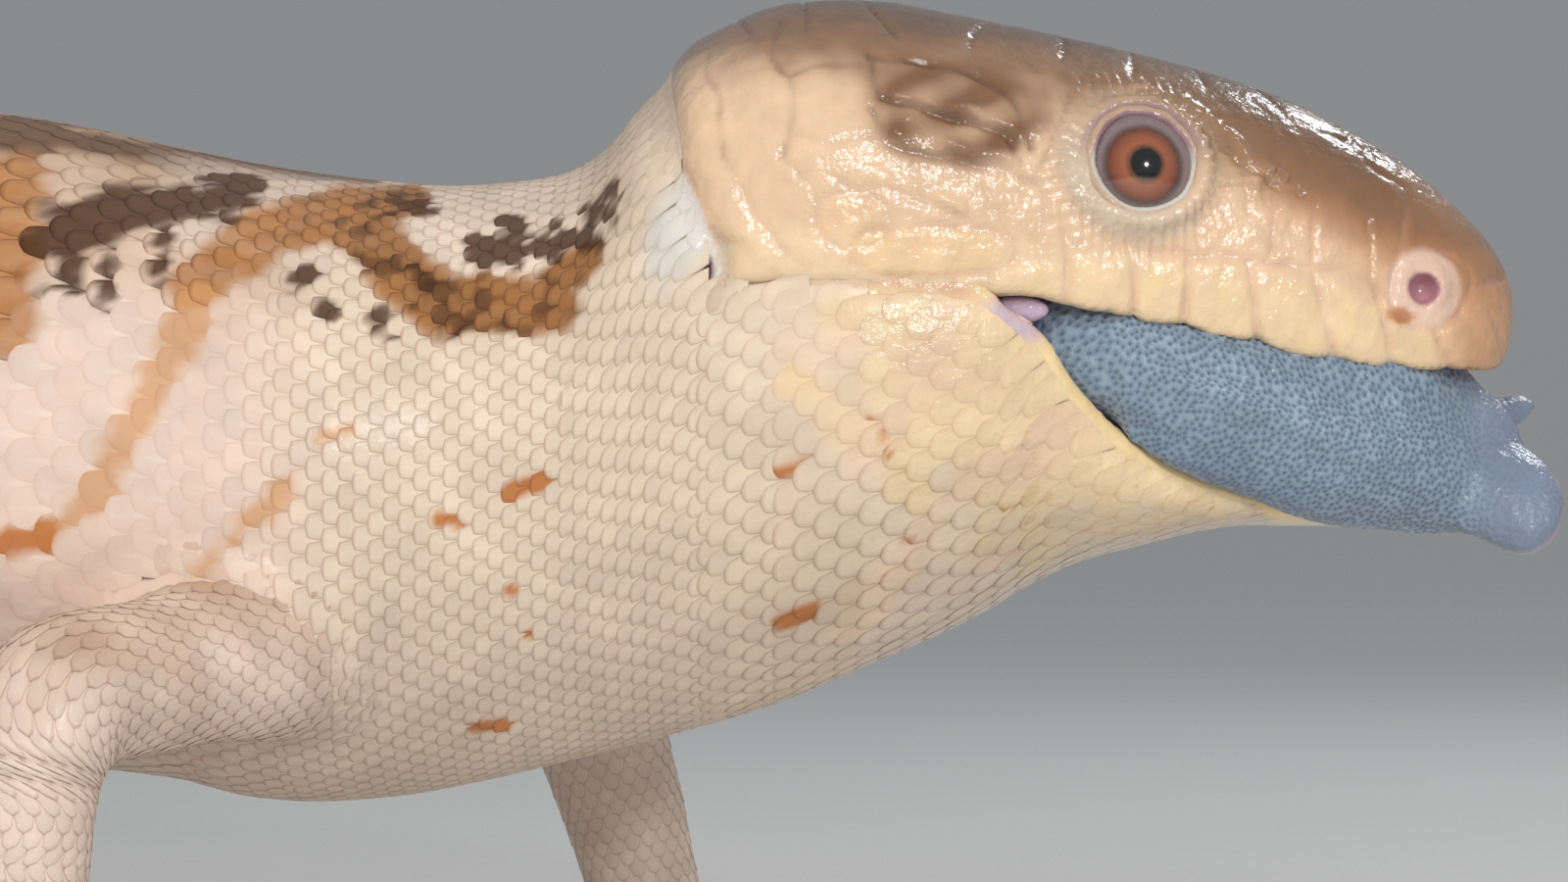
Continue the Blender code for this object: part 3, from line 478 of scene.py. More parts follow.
darkMarks = [
    (101.2, 58.6, 96.4, 60.4, 2.0), (96.4, 60.4, 89.9, 61.7, 1.4), (100.6, 57.5, 99.8, 55.1, 1.0),
    (98.0, 57.5, 97.4, 54.3, 0.7), (94.3, 58.7, 94.6, 56.2, 0.9), (102.3, 54.5, 102.2, 54.3, 0.7),
    (73.4, 57.8, 70.6, 57.8, 1.1), (69.0, 57.8, 65.9, 58.8, 1.1), (66.2, 59.4, 64.3, 61.6, 0.8),
    (71.3, 59.8, 71.0, 59.8, 0.5), (79.6, 52.9, 79.4, 52.7, 0.7), (79.7, 61.3, 76.9, 60.7, 0.5),
    (84.9, 55.7, 84.8, 55.5, 0.6), (83.4, 53.6, 83.3, 53.5, 0.6), (77.6, 56.5, 76.6, 55.6, 0.6),
    (74.2, 52.2, 73.6, 52.2, 0.5),
]
brownMarks = [(107.2, 66.2, 103.7, 65.6, 1.7), (103.7, 65.6, 89.7, 64.1, 0.9), (89.7, 64.1, 81.7, 63.4, 0.8)]
rustSpots = [
    (101.3, 38.2, 103.6, 37.9, 1.0), (70.8, 41.1, 68.7, 42.0, 0.6), (75.6, 39.4, 74.4, 39.1, 0.4),
    (70.9, 34.5, 70.8, 34.5, 0.3), (69.8, 31.5, 69.8, 31.3, 0.33), (73.8, 24.8, 71.6, 24.9, 0.45),
    (52.4, 32.2, 50.3, 32.9, 0.62), (52.5, 42.7, 51.0, 43.3, 0.3), (44.1, 37.8, 43.4, 37.9, 0.27),
    (37.0, 40.2, 36.2, 40.2, 0.27), (46.3, 46.6, 45.7, 45.3, 0.14), (45.7, 45.3, 44.9, 43.6, 0.14),
]


def coatTint(points, station, height, around, seed=3):
    # around is 0 on the back, 1 on the belly; points are the model's own millimetres
    def noise(size, number):
        return waves(points, size, seed + number)

    side = np.column_stack([station, height])
    rag = 0.45 * noise(6, 0) + 0.25 * noise(2.2, 1)
    speck = 0.5 * noise(1.5, 6)
    back = 1 - ramp(around + 0.05 * noise(14, 2), 0.16, 0.40)
    jowl = np.hypot((station - 32) / 18, (height - 49) / 13) + 0.25 * noise(5, 9)
    tint = paint(
        plain(coatColours["flank"], points), coatColours,
        ("back", back * 0.8),
        ("belly", ramp(around, 0.62, 0.9) * ramp(station, 60, 95)),
        ("neck", (1 - ramp(station, 78, 92)) * 0.85),
        ("throat", ramp(-station, -62, -50)),
        ("jowl", ramp(1.15 - jowl, 0, 0.5) * 0.8),
        ("peach", (1 - ramp(station, 44, 56)) * ramp(noise(6, 14), 0.0, 0.7) * 0.7))
    # crossbands: dark on the back, orange lower on the flanks, and rings on the tail
    spacing = np.interp(station, *crossbands["spacing"])
    drift = 5 * noise(30, 3) + 1.6 * noise(8, 12)
    phase = station - crossbands["first"] + drift + crossbands["slant"] * around
    wave = np.cos(2 * math.pi * phase / spacing)
    behind = ramp(station, 106, 116)
    onTail = ramp(station, 290, 320)
    reach = 1 - ramp(around, 0.56, 0.74) * (1 - 0.75 * onTail)
    patchy = 0.55 * noise(11, 13) * (1 - onTail)
    band = ramp(wave + 0.6 * rag + patchy, -0.35, 0.25) * reach * behind
    core = ramp(wave + 0.8 * rag + 1.1 * patchy, 0.15, 0.8) * reach * behind
    pale = ramp(-wave + 0.5 * rag, 0.55, 1.0) * behind * (1 - ramp(around, 0.5, 0.7))
    # neck and shoulder: the marks placed one by one, on a back that pales toward the nape
    front = 1 - ramp(station, 108, 118)
    upper = 1 - ramp(around, 0.10, 0.2)
    brown = spotShare(side, brownMarks, 0.8 * rag)
    brown = np.maximum(brown, upper * ramp(station, 96, 106) * ramp(rag, -0.3, 0.3))
    alongNape = ramp(station, 64, 70) * (1 - ramp(station, 92, 98))
    nape = alongNape * ramp(around, 0.05, 0.12) * (1 - ramp(around, 0.26, 0.32))
    blotch = spotShare(side, orangeMarks, 0.8 * rag + 0.3 * speck) * front
    deep = ramp(noise(3.2, 10) + 0.4 * noise(1.1, 11), 0.05, 0.75) * (1 - ramp(station, 80, 90))
    nearEar = np.hypot((station - 59.6 - 0.3 * (59 - height)) / 2.6, (height - 59.4) / 5.0)
    tint = paint(
        tint, coatColours,
        ("orange", band * 0.85),
        ("brown", core * (0.9 - 0.55 * ramp(around, 0.25, 0.55))),
        ("cream", pale * 0.5),
        ("brown", brown * front * 0.8),
        ("cream", nape * front * 0.6),
        ("orange", blotch * (0.9 + 0.2 * speck)),
        ("tan", blotch * (1 - ramp(station, 78, 90)) * 0.8),
        ("brown", blotch * deep * 0.8),
        ("stripe", spotShare(side, stripeMarks, 1.2 * rag + 0.8 * speck) * front * 0.75),
        ("charcoal", spotShare(side, darkMarks, 1.2 * rag + 2.3 * speck, 0.5) * front * 0.93),
        ("rust", spotShare(side, rustSpots, 0.7 * speck, 0.25) * front * 0.95),
        ("ear", ramp(1.1 - nearEar, 0, 0.6) * 0.8))
    return tint * (1 + 0.05 * noise(9, 5) + 0.025 * noise(3, 7))[:, None]


# The grid of the coat: points all round the body at every half millimetre

gridStep, gridAround = 0.5, 192
gridStart = 14.0


def coatOutline(station, count):
    if station >= build["neck"]:
        return bodyHalf(station, count), np.ones(count, bool)
    if station >= build["corner"]:
        both = np.vstack([headHalf(station, 80)[0], jawHalf(station, 80)[0]])
        return evenly(both, count)[0], np.ones(count, bool)
    outline, run, _ = jawHalf(station, 120)
    full = mouthRun
    down = (1 - np.linspace(0, 1, count)) * full
    points = np.column_stack([np.interp(run[-1] - down, run, outline[:, k]) for k in range(2)])
    return points, down <= run[-1]


both = np.vstack([headHalf(build["corner"], 80)[0], jawHalf(build["corner"], 80)[0]])
mouthRun = evenly(both, 160)[1][-1]
stations = np.arange(gridStart, build["length"] - 0.4, gridStep)
halfCount = gridAround // 2 + 1
grid = np.zeros((len(stations), gridAround, 3))
gridThere = np.zeros((len(stations), gridAround), bool)
for i, station in enumerate(stations):
    half, there = coatOutline(station, halfCount)
    ring = np.vstack([half * (-1, 1), half[1:-1][::-1]])
    grid[i] = inBody(np.full(gridAround, station), ring[:, 0], np.maximum(ring[:, 1], 0))
    gridThere[i] = np.concatenate([there, there[1:-1][::-1]])
print("skink: coat grid ready,", grid.shape)


def gridNormals(points):
    lengthwise = np.gradient(points, axis=0)
    around = np.roll(points, -1, axis=1) - np.roll(points, 1, axis=1)
    normal = np.cross(lengthwise, around)
    normal /= np.maximum(np.linalg.norm(normal, axis=2), 1e-9)[..., None]
    return normal


def sample(field, row, column):
    # bilinear, open along the body and closed round it
    rows, columns = field.shape[:2]
    row = np.clip(row, 0, rows - 1.001)
    r, c = np.floor(row).astype(int), np.floor(column).astype(int)
    fr, fc = (row - r)[..., None], (column - c)[..., None]
    c0, c1 = c % columns, (c + 1) % columns
    top = field[r, c0] * (1 - fc) + field[r, c1] * fc
    low = field[r + 1, c0] * (1 - fc) + field[r + 1, c1] * fc
    return top * (1 - fr) + low * fr


# The skin under the coat: body and legs in one, with soft folds where they meet

def curveThrough(knots, count):
    knots = np.array(knots, float)
    padded = np.vstack([2 * knots[0] - knots[1], knots, 2 * knots[-1] - knots[-2]])
    points = []
    for t in np.linspace(0, len(knots) - 1, count):
        i = min(int(t), len(knots) - 2)
        u = t - i
        a, b, c, d = padded[i : i + 4]
        cubic = 3 * b - a - 3 * c + d
        points.append(0.5 * (2 * b + (c - a) * u + (2 * a - 5 * b + 4 * c - d) * u**2 + cubic * u**3))
    return np.array(points)


def legLine(leg, count):
    knots = []
    for (ahead, out, up), radius in zip(leg["path"], leg["radius"]):
        knots.append([*inBody(leg["station"], leg["side"] * out, up, ahead), radius])
    return curveThrough(knots, count)


def tubeAlong(name, points, radii, sides=24):
    curve = bpy.data.curves.new(name, "CURVE")
    curve.dimensions, curve.bevel_depth, curve.use_fill_caps = "3D", 1.0, True
    curve.bevel_resolution = (sides - 4) // 2
    spline = curve.splines.new("POLY")
    spline.points.add(len(points) - 1)
    for knot, point, radius in zip(spline.points, toScene(points), radii):
        knot.co = (*point, 1)
        knot.radius = radius * mm
    obj = bpy.data.objects.new(name, curve)
    bpy.context.scene.collection.objects.link(obj)
    pick(obj)
    bpy.ops.object.convert(target="MESH")
    obj = bpy.context.active_object
    cleanUp(obj)
    return obj


skinSettings = {"voxel": 1.15, "smoothing": 9, "front": 58.0, "inset": 0.42}
trunkStations = np.concatenate([np.arange(skinSettings["front"], 130, 1.5), np.arange(130, 495, 2.5), [494.8]])
rings = []
for station in trunkStations:
    ring = bothSides(coatOutline(station, 49)[0])
    rings.append(inBody(np.full(len(ring), station), ring[:, 0], np.maximum(ring[:, 1], 0)))
parts = [loft("trunk", rings)]
for name, leg in legs.items():
    line = legLine(leg, 40)
    parts.append(tubeAlong(name, line[:, :3], line[:, 3]))
skin = joined("skin_body", parts)
remesh(skin, skinSettings["voxel"], skinSettings["smoothing"])
skinTree = BVHTree.FromPolygons(
    [Vector(p) for p in inModel(coords(skin.data)).tolist()], [tuple(p.vertices) for p in skin.data.polygons])
print("skink: skin of body and legs,", len(skin.data.polygons), "faces")


def settle(points, normals, reach=4.0, inside=3.0):
    # moves grid points onto the skin; there is False where the skin lies too far off
    moved = np.zeros(points.shape[:2])
    there = np.ones(points.shape[:2], bool)
    for i in range(points.shape[0]):
        for k in range(points.shape[1]):
            start = Vector(points[i, k] - normals[i, k] * inside)
            way = Vector(normals[i, k])
            hit = skinTree.ray_cast(start, way, inside + reach)
            if hit[0] is None or hit[1].dot(way) < 0.35:
                there[i, k] = False
            else:
                moved[i, k] = hit[3] - inside
    return moved, there


def soften(values, rounds=3, closed=True):
    for _ in range(rounds):
        side = (np.roll(values, 1, 1) + np.roll(values, -1, 1)) / 2 if closed else values
        padded = np.pad(values, ((1, 1), (0, 0)), mode="edge")
        values = 0.4 * values + 0.3 * side + 0.15 * (padded[:-2] + padded[2:])
    return values


# Scales: each is a closed tile that starts under its neighbours and ends in a free round edge

def tilePattern(lengthwise, sideways):
    rows, columns = len(lengthwise), len(sideways)
    ahead, across = np.meshgrid(lengthwise, sideways, indexing="ij")
    index = np.arange(rows * columns).reshape(rows, columns)
    faces = []
    for i in range(rows - 1):
        for k in range(columns - 1):
            faces.append((index[i, k], index[i + 1, k], index[i + 1, k + 1], index[i, k + 1]))
    border = [*index[:, 0], *index[-1, 1:], *index[-2::-1, -1], *index[0, -2:0:-1]]
    under = rows * columns
    for a, b in zip(border, border[1:] + border[:1]):
        faces.append((a, under, b, a))
    # edge is 1 along each tile's outer rim, where the material darkens it toward Edge Colour as painted shade
    # of the step onto the next scale
    edge = np.clip((np.maximum(np.abs(across), ahead).ravel() - 0.84) / 0.16, 0, 1)
    onBorder = np.isin(np.arange(under + 1), border)
    return np.append(ahead, -0.1), np.append(across, 0.0), np.append(edge, 0), np.array(faces), under, onBorder


tileSettings = {"width": 0.985, "sink": 0.03, "bow": 0.16, "skirt": 2.3, "uneven": 0.05, "shade": 0.022}


def tiles(name, field, normals, origin, step, place, look, tintOf, pattern, seed, patchOf):
    # place is (station or distance, column) of each tile; look has pitch, half width, rise, round and edge
    a, b, edge, faces, topCount, onBorder = pattern
    draw = np.random.default_rng(seed)
    count, total = len(place), len(a)
    rear = a > 0
    roundness = look["round"][:, None]
    u = np.where(rear, a * np.sqrt(1 - roundness * b**2), a)
    v = np.where(rear, b * np.sqrt(1 - (0.18 + 0.6 * roundness) * a**2), b * (1 - 0.12 * a**2))
    reach = np.where(rear, 1.08 + 0.56 * roundness, 1.15)
    row = (place[:, 0, None] - origin + look["pitch"][:, None] * reach * u) / step
    column = place[:, 1, None] + look["half"][:, None] * v * tileSettings["width"]
    point, normal = sample(field, row, column), sample(normals, row, column)
    normal /= np.maximum(np.linalg.norm(normal, axis=2), 1e-9)[..., None]
    rise = look["rise"][:, None]
    bow = tileSettings["bow"]
    lift = rise * ((u + 1) / 2 - 1) - tileSettings["sink"] - rise * (bow * v**2 + bow * edge[None] ** 2)
    lift += rise * tileSettings["uneven"] * draw.normal(size=count)[:, None]
    lift[:, topCount] = -tileSettings["skirt"] * rise[:, 0] - 0.1
    point = point + normal * lift[..., None]
    point[..., 2] = np.maximum(point[..., 2], 0.02)
    faceIndex = (faces[None] + (np.arange(count) * total)[:, None, None]).reshape(-1, 4)
    faceList = [tuple(f[:3]) if f[3] == f[0] else tuple(f) for f in faceIndex.tolist()]
    obj = newMesh(name, toScene(point.reshape(-1, 3)), faceList)
    obj.data.shade_smooth()
    ends = np.empty(len(obj.data.edges) * 2, int)
    obj.data.edges.foreach_get("vertices", ends)
    obj.data.edges.foreach_set("use_edge_sharp", onBorder[ends.reshape(-1, 2) % total].all(axis=1))
    middle = sample(field, (place[:, 0] - origin) / step, place[:, 1])
    mixed = 0.3 * middle[:, None] + 0.7 * point
    at = place[:, None] * 0.3 + 0.7 * np.stack([row * step + origin, column], axis=-1)
    tint = tintOf(mixed.reshape(-1, 3), at.reshape(-1, 2))
    tint = tint * np.repeat(1 + tileSettings["shade"] * draw.normal(size=count), total)[:, None]
    setColour(obj.data, "tint", np.clip(tint, 0.004, 1))
    setValue(obj.data, "edge", (edge[None] * look["edge"][:, None]).ravel())
    spread = np.tile(np.column_stack([a, b]) * 0.0015, (count, 1))
    addBakeMap(obj.data, np.repeat(patchOf(place), total, axis=0) + spread)
    return obj


def addBakeMap(mesh, uv):
    layer = mesh.uv_layers.new(name="OFBake")
    index = np.empty(len(mesh.loops), int)
    mesh.loops.foreach_get("vertex_index", index)
    layer.data.foreach_set("uv", uv[index].ravel())


bodyCoat = {
    "columns": [(0, 60), (52, 68), (57, 78), (86, 68), (92, 60), (99, 52), (108, 46), (120, 42), (320, 38),
    (350, 32), (390, 26), (430, 20), (465, 14)],
    "pitch": [(14, 1.5), (30, 1.65), (46, 1.6), (54, 1.3), (60, 1.0), (66, 0.95), (82, 1.0), (90, 1.3),
    (100, 1.8), (125, 2.3),
              (200, 2.7), (290, 2.6), (330, 2.4), (380, 2.2), (430, 1.9), (470, 1.4), (495, 1.0)],
}
# The fold behind which the head's shields give way to scales, the mouth line above the scales, and the
# ear's hollow: station, height, half length, half height
headEdge = {
    "fold": [(40, 56.0), (52, 56.0), (57.9, 56.0), (59.0, 57.3), (61.3, 58.3), (63.5, 59.4), (65.7, 59.8),
    (69, 60.4), (74, 60.6), (77, 60.8)],
    "mouth": [(14, 39.3), (17, 40.0), (21.2, 40.7), (24.1, 41.6), (26.7, 42.8), (29.1, 44.1), (31, 45.8),
    (32.7, 47.7), (34.6, 50.6),
              (37.8, 53.2), (44, 54.3), (50, 54.7), (54.5, 55.0), (56.6, 54.8), (58, 54.4)],
    "ear": (58.5, 58.8, 0.75, 3.9), "earLean": 0.36,
}


def foldAt(height):
    return np.interp(height, *zip(*headEdge["fold"]))


def mouthAt(station):
    return np.interp(station, *zip(*headEdge["mouth"]))


def coatWanted(point, station):
    height = point[:, 2]
    behind = station > foldAt(height) - 0.5
    below = height < mouthAt(station) - 0.2 + 0.55 * ramp(station, 37, 40)
    clear = (earRing(station, height) > 1) & (earRing(station + 1.1, height) > 1)
    return (behind | (below & (station < 58))) & clear


def earRing(station, height):
    # 1 at the edge of the ear's hollow, which leans forward at its foot
    s, z, long, high = headEdge["ear"]
    return np.hypot((station - s - headEdge["earLean"] * (height - z)) / long, (height - z) / high)


def foldRelief(station, height):
    # the head's rear edge stands over the neck like a soft collar
    behind = station - foldAt(height)
    share = ramp(height, 49, 57) * (1 - 0.5 * ramp(height, 66, 74))
    collar = 0.32 * np.exp(-(((behind + 1.5) / 1.4) ** 2))
    return share * (collar - 0.6 * np.exp(-(((behind - 1.1) / 1.4) ** 2)))


gridNormal = gridNormals(grid)
centre = inBody(stations, 0, (along(build["top"], stations) + along(build["underside"], stations, 9)) / 2)
if np.mean(np.sum((grid[200] - centre[200]) * gridNormal[200], axis=1)) < 0:
    gridNormal = -gridNormal
grid += gridNormal * np.minimum(foldRelief(stations[:, None], grid[..., 2]), 0)[..., None]
legZone = (stations > 67) & (stations < 115) | (stations > 235) & (stations < 310)
offset = np.zeros(grid.shape[:2])
onSkin = gridThere.copy()
rowsToSettle = np.where(legZone)[0]
moved, there = settle(grid[rowsToSettle], gridNormal[rowsToSettle])
outward = soften(np.where(there & (moved > 0.15), moved, 0.0), 2)
offset[rowsToSettle] = np.clip(outward, 0, 2.8)
onSkin[rowsToSettle] &= there & (moved < 2.8)
skinGrid = grid + gridNormal * offset[..., None]
print("skink: coat grid settled on the skin")

places, pitches, widths = [], [], []
pitchKnots = np.array(bodyCoat["pitch"])
station, ring = 15.0, 0
while station < build["length"] - 1.5:
    step = float(np.interp(station, pitchKnots[:, 0], pitchKnots[:, 1]))
    columns = [count for start, count in bodyCoat["columns"] if station > start][-1]
    each = gridAround / columns
    at = (np.arange(columns) + 0.5 * (ring % 2)) * each
    for column in at:
        places.append((station, column))
        pitches.append(step)
        widths.append(each / 2)
    changes = any(station < start <= station + step for start, _ in bodyCoat["columns"])
    station += step * (0.6 if changes else 1)
    ring += 1
places, pitches, widths = np.array(places), np.array(pitches), np.array(widths)
rowAt = ((places[:, 0] - gridStart) / gridStep).round().astype(int)
columnAt = places[:, 1].round().astype(int) % gridAround
at = skinGrid[rowAt, columnAt]
keep = onSkin[rowAt, columnAt] & coatWanted(at, places[:, 0]) & gridThere[rowAt, columnAt]
places, pitches, widths = places[keep], pitches[keep], widths[keep]
print("skink: body scales", len(places))


def aroundOf(column):
    return np.minimum(column % gridAround, gridAround - column % gridAround) / (gridAround / 2)


def bodyTint(centre, place):
    return coatTint(centre, place[:, 0], centre[:, 2], aroundOf(place[:, 1]))


coatPieces = []
skinNormal = gridNormals(skinGrid)
skinNormal *= np.sign(np.sum(skinNormal * gridNormal, axis=2))[..., None]
pattern = tilePattern([-1, -0.55, -0.2, 0.15, 0.5, 0.78, 0.9, 1], [-1, -0.88, -0.5, 0, 0.5, 0.88, 1])
coarsePattern = tilePattern([-1, -0.5, 0, 0.5, 0.86, 1], [-1, -0.84, 0, 0.84, 1])  # for tail and legs
zones = {
    "scales_jowl": (0, 46), "scales_throat": (46, 56), "scales_nape": (56, 69), "scales_neck": (69, 83),
    "scales_shoulder": (83, 108), "scales_ribs": (108, 155), "scales_loins": (155, 205),
    "scales_flank": (205, 255),
    "scales_hips": (255, 305), "scales_tail_base": (305, 370), "scales_tail": (370, 500),
}


def scaleLookOf(place, pitch, half):
    # faint on the cheeks and flanks, plain on the throat, fine and square on the neck
    station, around = place[:, 0], aroundOf(place[:, 1])
    height = sample(skinGrid, (station - gridStart) / gridStep, place[:, 1])[:, 2]
    belowMouth = mouthAt(station) - height
    cheek = (1 - ramp(station, 50, 58)) * (1 - ramp(belowMouth, 5, 17))
    flank = ramp(station, 82, 92) * (1 - 0.35 * ramp(station, 120, 150))
    flank = flank * ramp(around, 0.22, 0.32) * (1 - ramp(around, 0.6, 0.78))
    collar = (1 - ramp(station - foldAt(height), 1.5, 5)) * ramp(height, 53, 57)
    front = 1 - ramp(station, 100, 130)
    strength = (1 - 0.8 * collar) * (1 - 0.65 * cheek) * (1 - 0.78 * flank) * (1 - 0.3 * front)
    square = ramp(station, 56, 62) * (1 - ramp(station, 84, 100))
    marked = spotShare(np.column_stack([station, height]), orangeMarks + darkMarks, 0)
    return {
        "pitch": pitch, "half": half, "round": 0.40 - 0.12 * square,
        "rise": 0.015 + (0.04 + 0.065 * pitch) * strength * (1 - 0.4 * square),
        # edge sets the strength of that painted shade; in the marks it is kept strong, where the scales' rims
        # are darker themselves
        "edge": np.maximum(strength * (0.8 + 0.1 * square), 0.9 * marked),
    }


for number, (name, (front, back)) in enumerate(zones.items()):
    here = (places[:, 0] >= front) & (places[:, 0] < back)

    def patchOf(place, front=max(front, 12), back=min(back, 496)):
        u = (place[:, 0] - front) / (back - front)
        return 0.005 + 0.99 * np.column_stack([u, (place[:, 1] % gridAround) / gridAround])

    look = scaleLookOf(places[here], pitches[here], widths[here])
    coatPieces.append(tiles(
        name, skinGrid, skinNormal, gridStart, gridStep, places[here], look, bodyTint,
        coarsePattern if "tail" in name else pattern, 40 + number, patchOf))
print("skink: body coat,", sum(len(c.data.polygons) for c in coatPieces), "faces")

# Scales of the legs
legCoat = {"pitch": 1.1, "columns": 22, "rise": 0.12, "samples": 240, "around": 72}


def legGrid(line, around):
    points, radii = line[:, :3], line[:, 3]
    way = np.gradient(points, axis=0)
    way /= np.linalg.norm(way, axis=1)[:, None]
    side = np.cross(way, (0.15, 0.1, 1.0))
    side /= np.linalg.norm(side, axis=1)[:, None]
    up = np.cross(side, way)
    turn = np.linspace(0, 2 * math.pi, around, endpoint=False)
    normal = side[:, None] * np.cos(turn)[None, :, None] + up[:, None] * np.sin(turn)[None, :, None]
    return points[:, None] + normal * radii[:, None, None], normal


for number, (name, leg) in enumerate(legs.items()):
    line = legLine(leg, legCoat["samples"])
    run = np.concatenate([[0], np.cumsum(np.linalg.norm(np.diff(line[:, :3], axis=0), axis=1))])
    evenRun = np.linspace(0, run[-1], legCoat["samples"])
    line = np.column_stack([np.interp(evenRun, run, line[:, k]) for k in range(4)])
    field, normal = legGrid(line, legCoat["around"])
    moved, there = settle(field, normal, 2.6)
    there &= moved < 0.9
    moved = soften(np.where(there, moved, 0), 2)
    field = field + normal * np.clip(moved, -1.0, 2.6)[..., None]
    step = run[-1] / (legCoat["samples"] - 1)
    legPlaces, ring = [], 0
    distance = 1.0
    while distance < run[-1] - 2.6:
        each = legCoat["around"] / legCoat["columns"]
        for column in (np.arange(legCoat["columns"]) + 0.5 * (ring % 2)) * each:
            r, c = int(round(distance / step)), int(round(column)) % legCoat["around"]
            r = min(r, legCoat["samples"] - 1)
            if there[r, c]:
                legPlaces.append((distance, column))
        distance += legCoat["pitch"]
        ring += 1
    legPlaces = np.array(legPlaces)
    fieldNormal = gridNormals(field)
    fieldNormal *= np.sign(np.sum(fieldNormal * normal, axis=2))[..., None]

    def legTint(centre, place):
        top = ramp(centre[:, 2], 22, 36) * 0.7 + 0.25 * waves(centre, 7, 5) - 0.1
        tint = blend(plain(coatColours["limb"], centre), coatColours["limbTop"], top)
        return tint * (1 + 0.06 * waves(centre, 5, 8))[:, None]

    def legPatch(place, far=run[-1]):
        turn = (place[:, 1] % legCoat["around"]) / legCoat["around"]
        return np.column_stack([0.01 + 0.98 * place[:, 0] / far, 0.01 + 0.98 * turn])

    legLook = {key: np.full(len(legPlaces), value) for key, value in (
        ("pitch", legCoat["pitch"]), ("half", legCoat["around"] / legCoat["columns"] / 2), ("round", 0.42),
        ("rise", legCoat["rise"]), ("edge", 0.5))}
    coatPieces.append(tiles(
        "scales_" + name, field, fieldNormal, 0.0, step, legPlaces, legLook, legTint, coarsePattern,
        70 + number, legPatch))
print("skink: scales of the legs")

# The skin sinks under the coat, and carries its markings, darkened as painted shade where it shows under and
# between the scales
points = inModel(coords(skin.data))
flatGrid = grid[::4, ::4].reshape(-1, 3)
finder = KDTree(len(flatGrid))
for i, point in enumerate(flatGrid):
    finder.insert(point, i)
finder.balance()
nearest = np.array([finder.find(p)[1] for p in points])
rowCount = len(range(0, gridAround, 4))
skinStation = gridStart + gridStep * 4 * (nearest // rowCount)
skinAround = aroundOf((nearest % rowCount) * 4.0)
# the factor 0.85 is painted shade under the scales
setColour(skin.data, "tint", coatTint(points, skinStation, points[:, 2], skinAround) * 0.85)
sunk = skinSettings["inset"] + np.maximum(-foldRelief(skinStation, points[:, 2]), 0) * 1.2
points = points - vertexNormals(skin.data) * sunk[:, None]
points[:, 2] = np.maximum(points[:, 2], 0.03)
setCoords(skin.data, toScene(points))
setValue(skin.data, "edge", np.zeros(len(points)))
print("skink: skin tinted")


# The head

crownShields = [  # station, run from the crown, half length, half width, tilt, raise
    (1.6, 0.0, 3.2, 6.5, 0, 0.10), (11.0, 0.0, 3.6, 4.2, 0, 0.10), (7.8, 4.6, 2.6, 2.6, 0, 0.10),
    (15.6, 4.4, 2.7, 3.2, 0, 0.12), (24.6, 0.0, 6.8, 3.4, 0, 0.12), (20.6, 6.8, 2.6, 2.6, 0, 0.14),
    (25.4, 7.2, 2.5, 2.9, 0, 0.14), (30.2, 6.8, 2.5, 2.9, 0, 0.14), (33.8, 2.2, 2.6, 2.4, 0, 0.12),
    (35.2, 7.0, 2.4, 2.6, 0, 0.12), (39.6, 0.0, 3.4, 2.2, 0, 0.12), (41.6, 4.9, 4.4, 2.8, 6, 0.12),
    (48.4, 2.6, 3.0, 3.4, 0, 0.12), (53.8, 2.8, 2.6, 3.4, 0, 0.12), (58.2, 3.2, 2.2, 3.6, 0, 0.12),
    (11.6, 8.6, 2.6, 2.2, 0, 0.10),
]
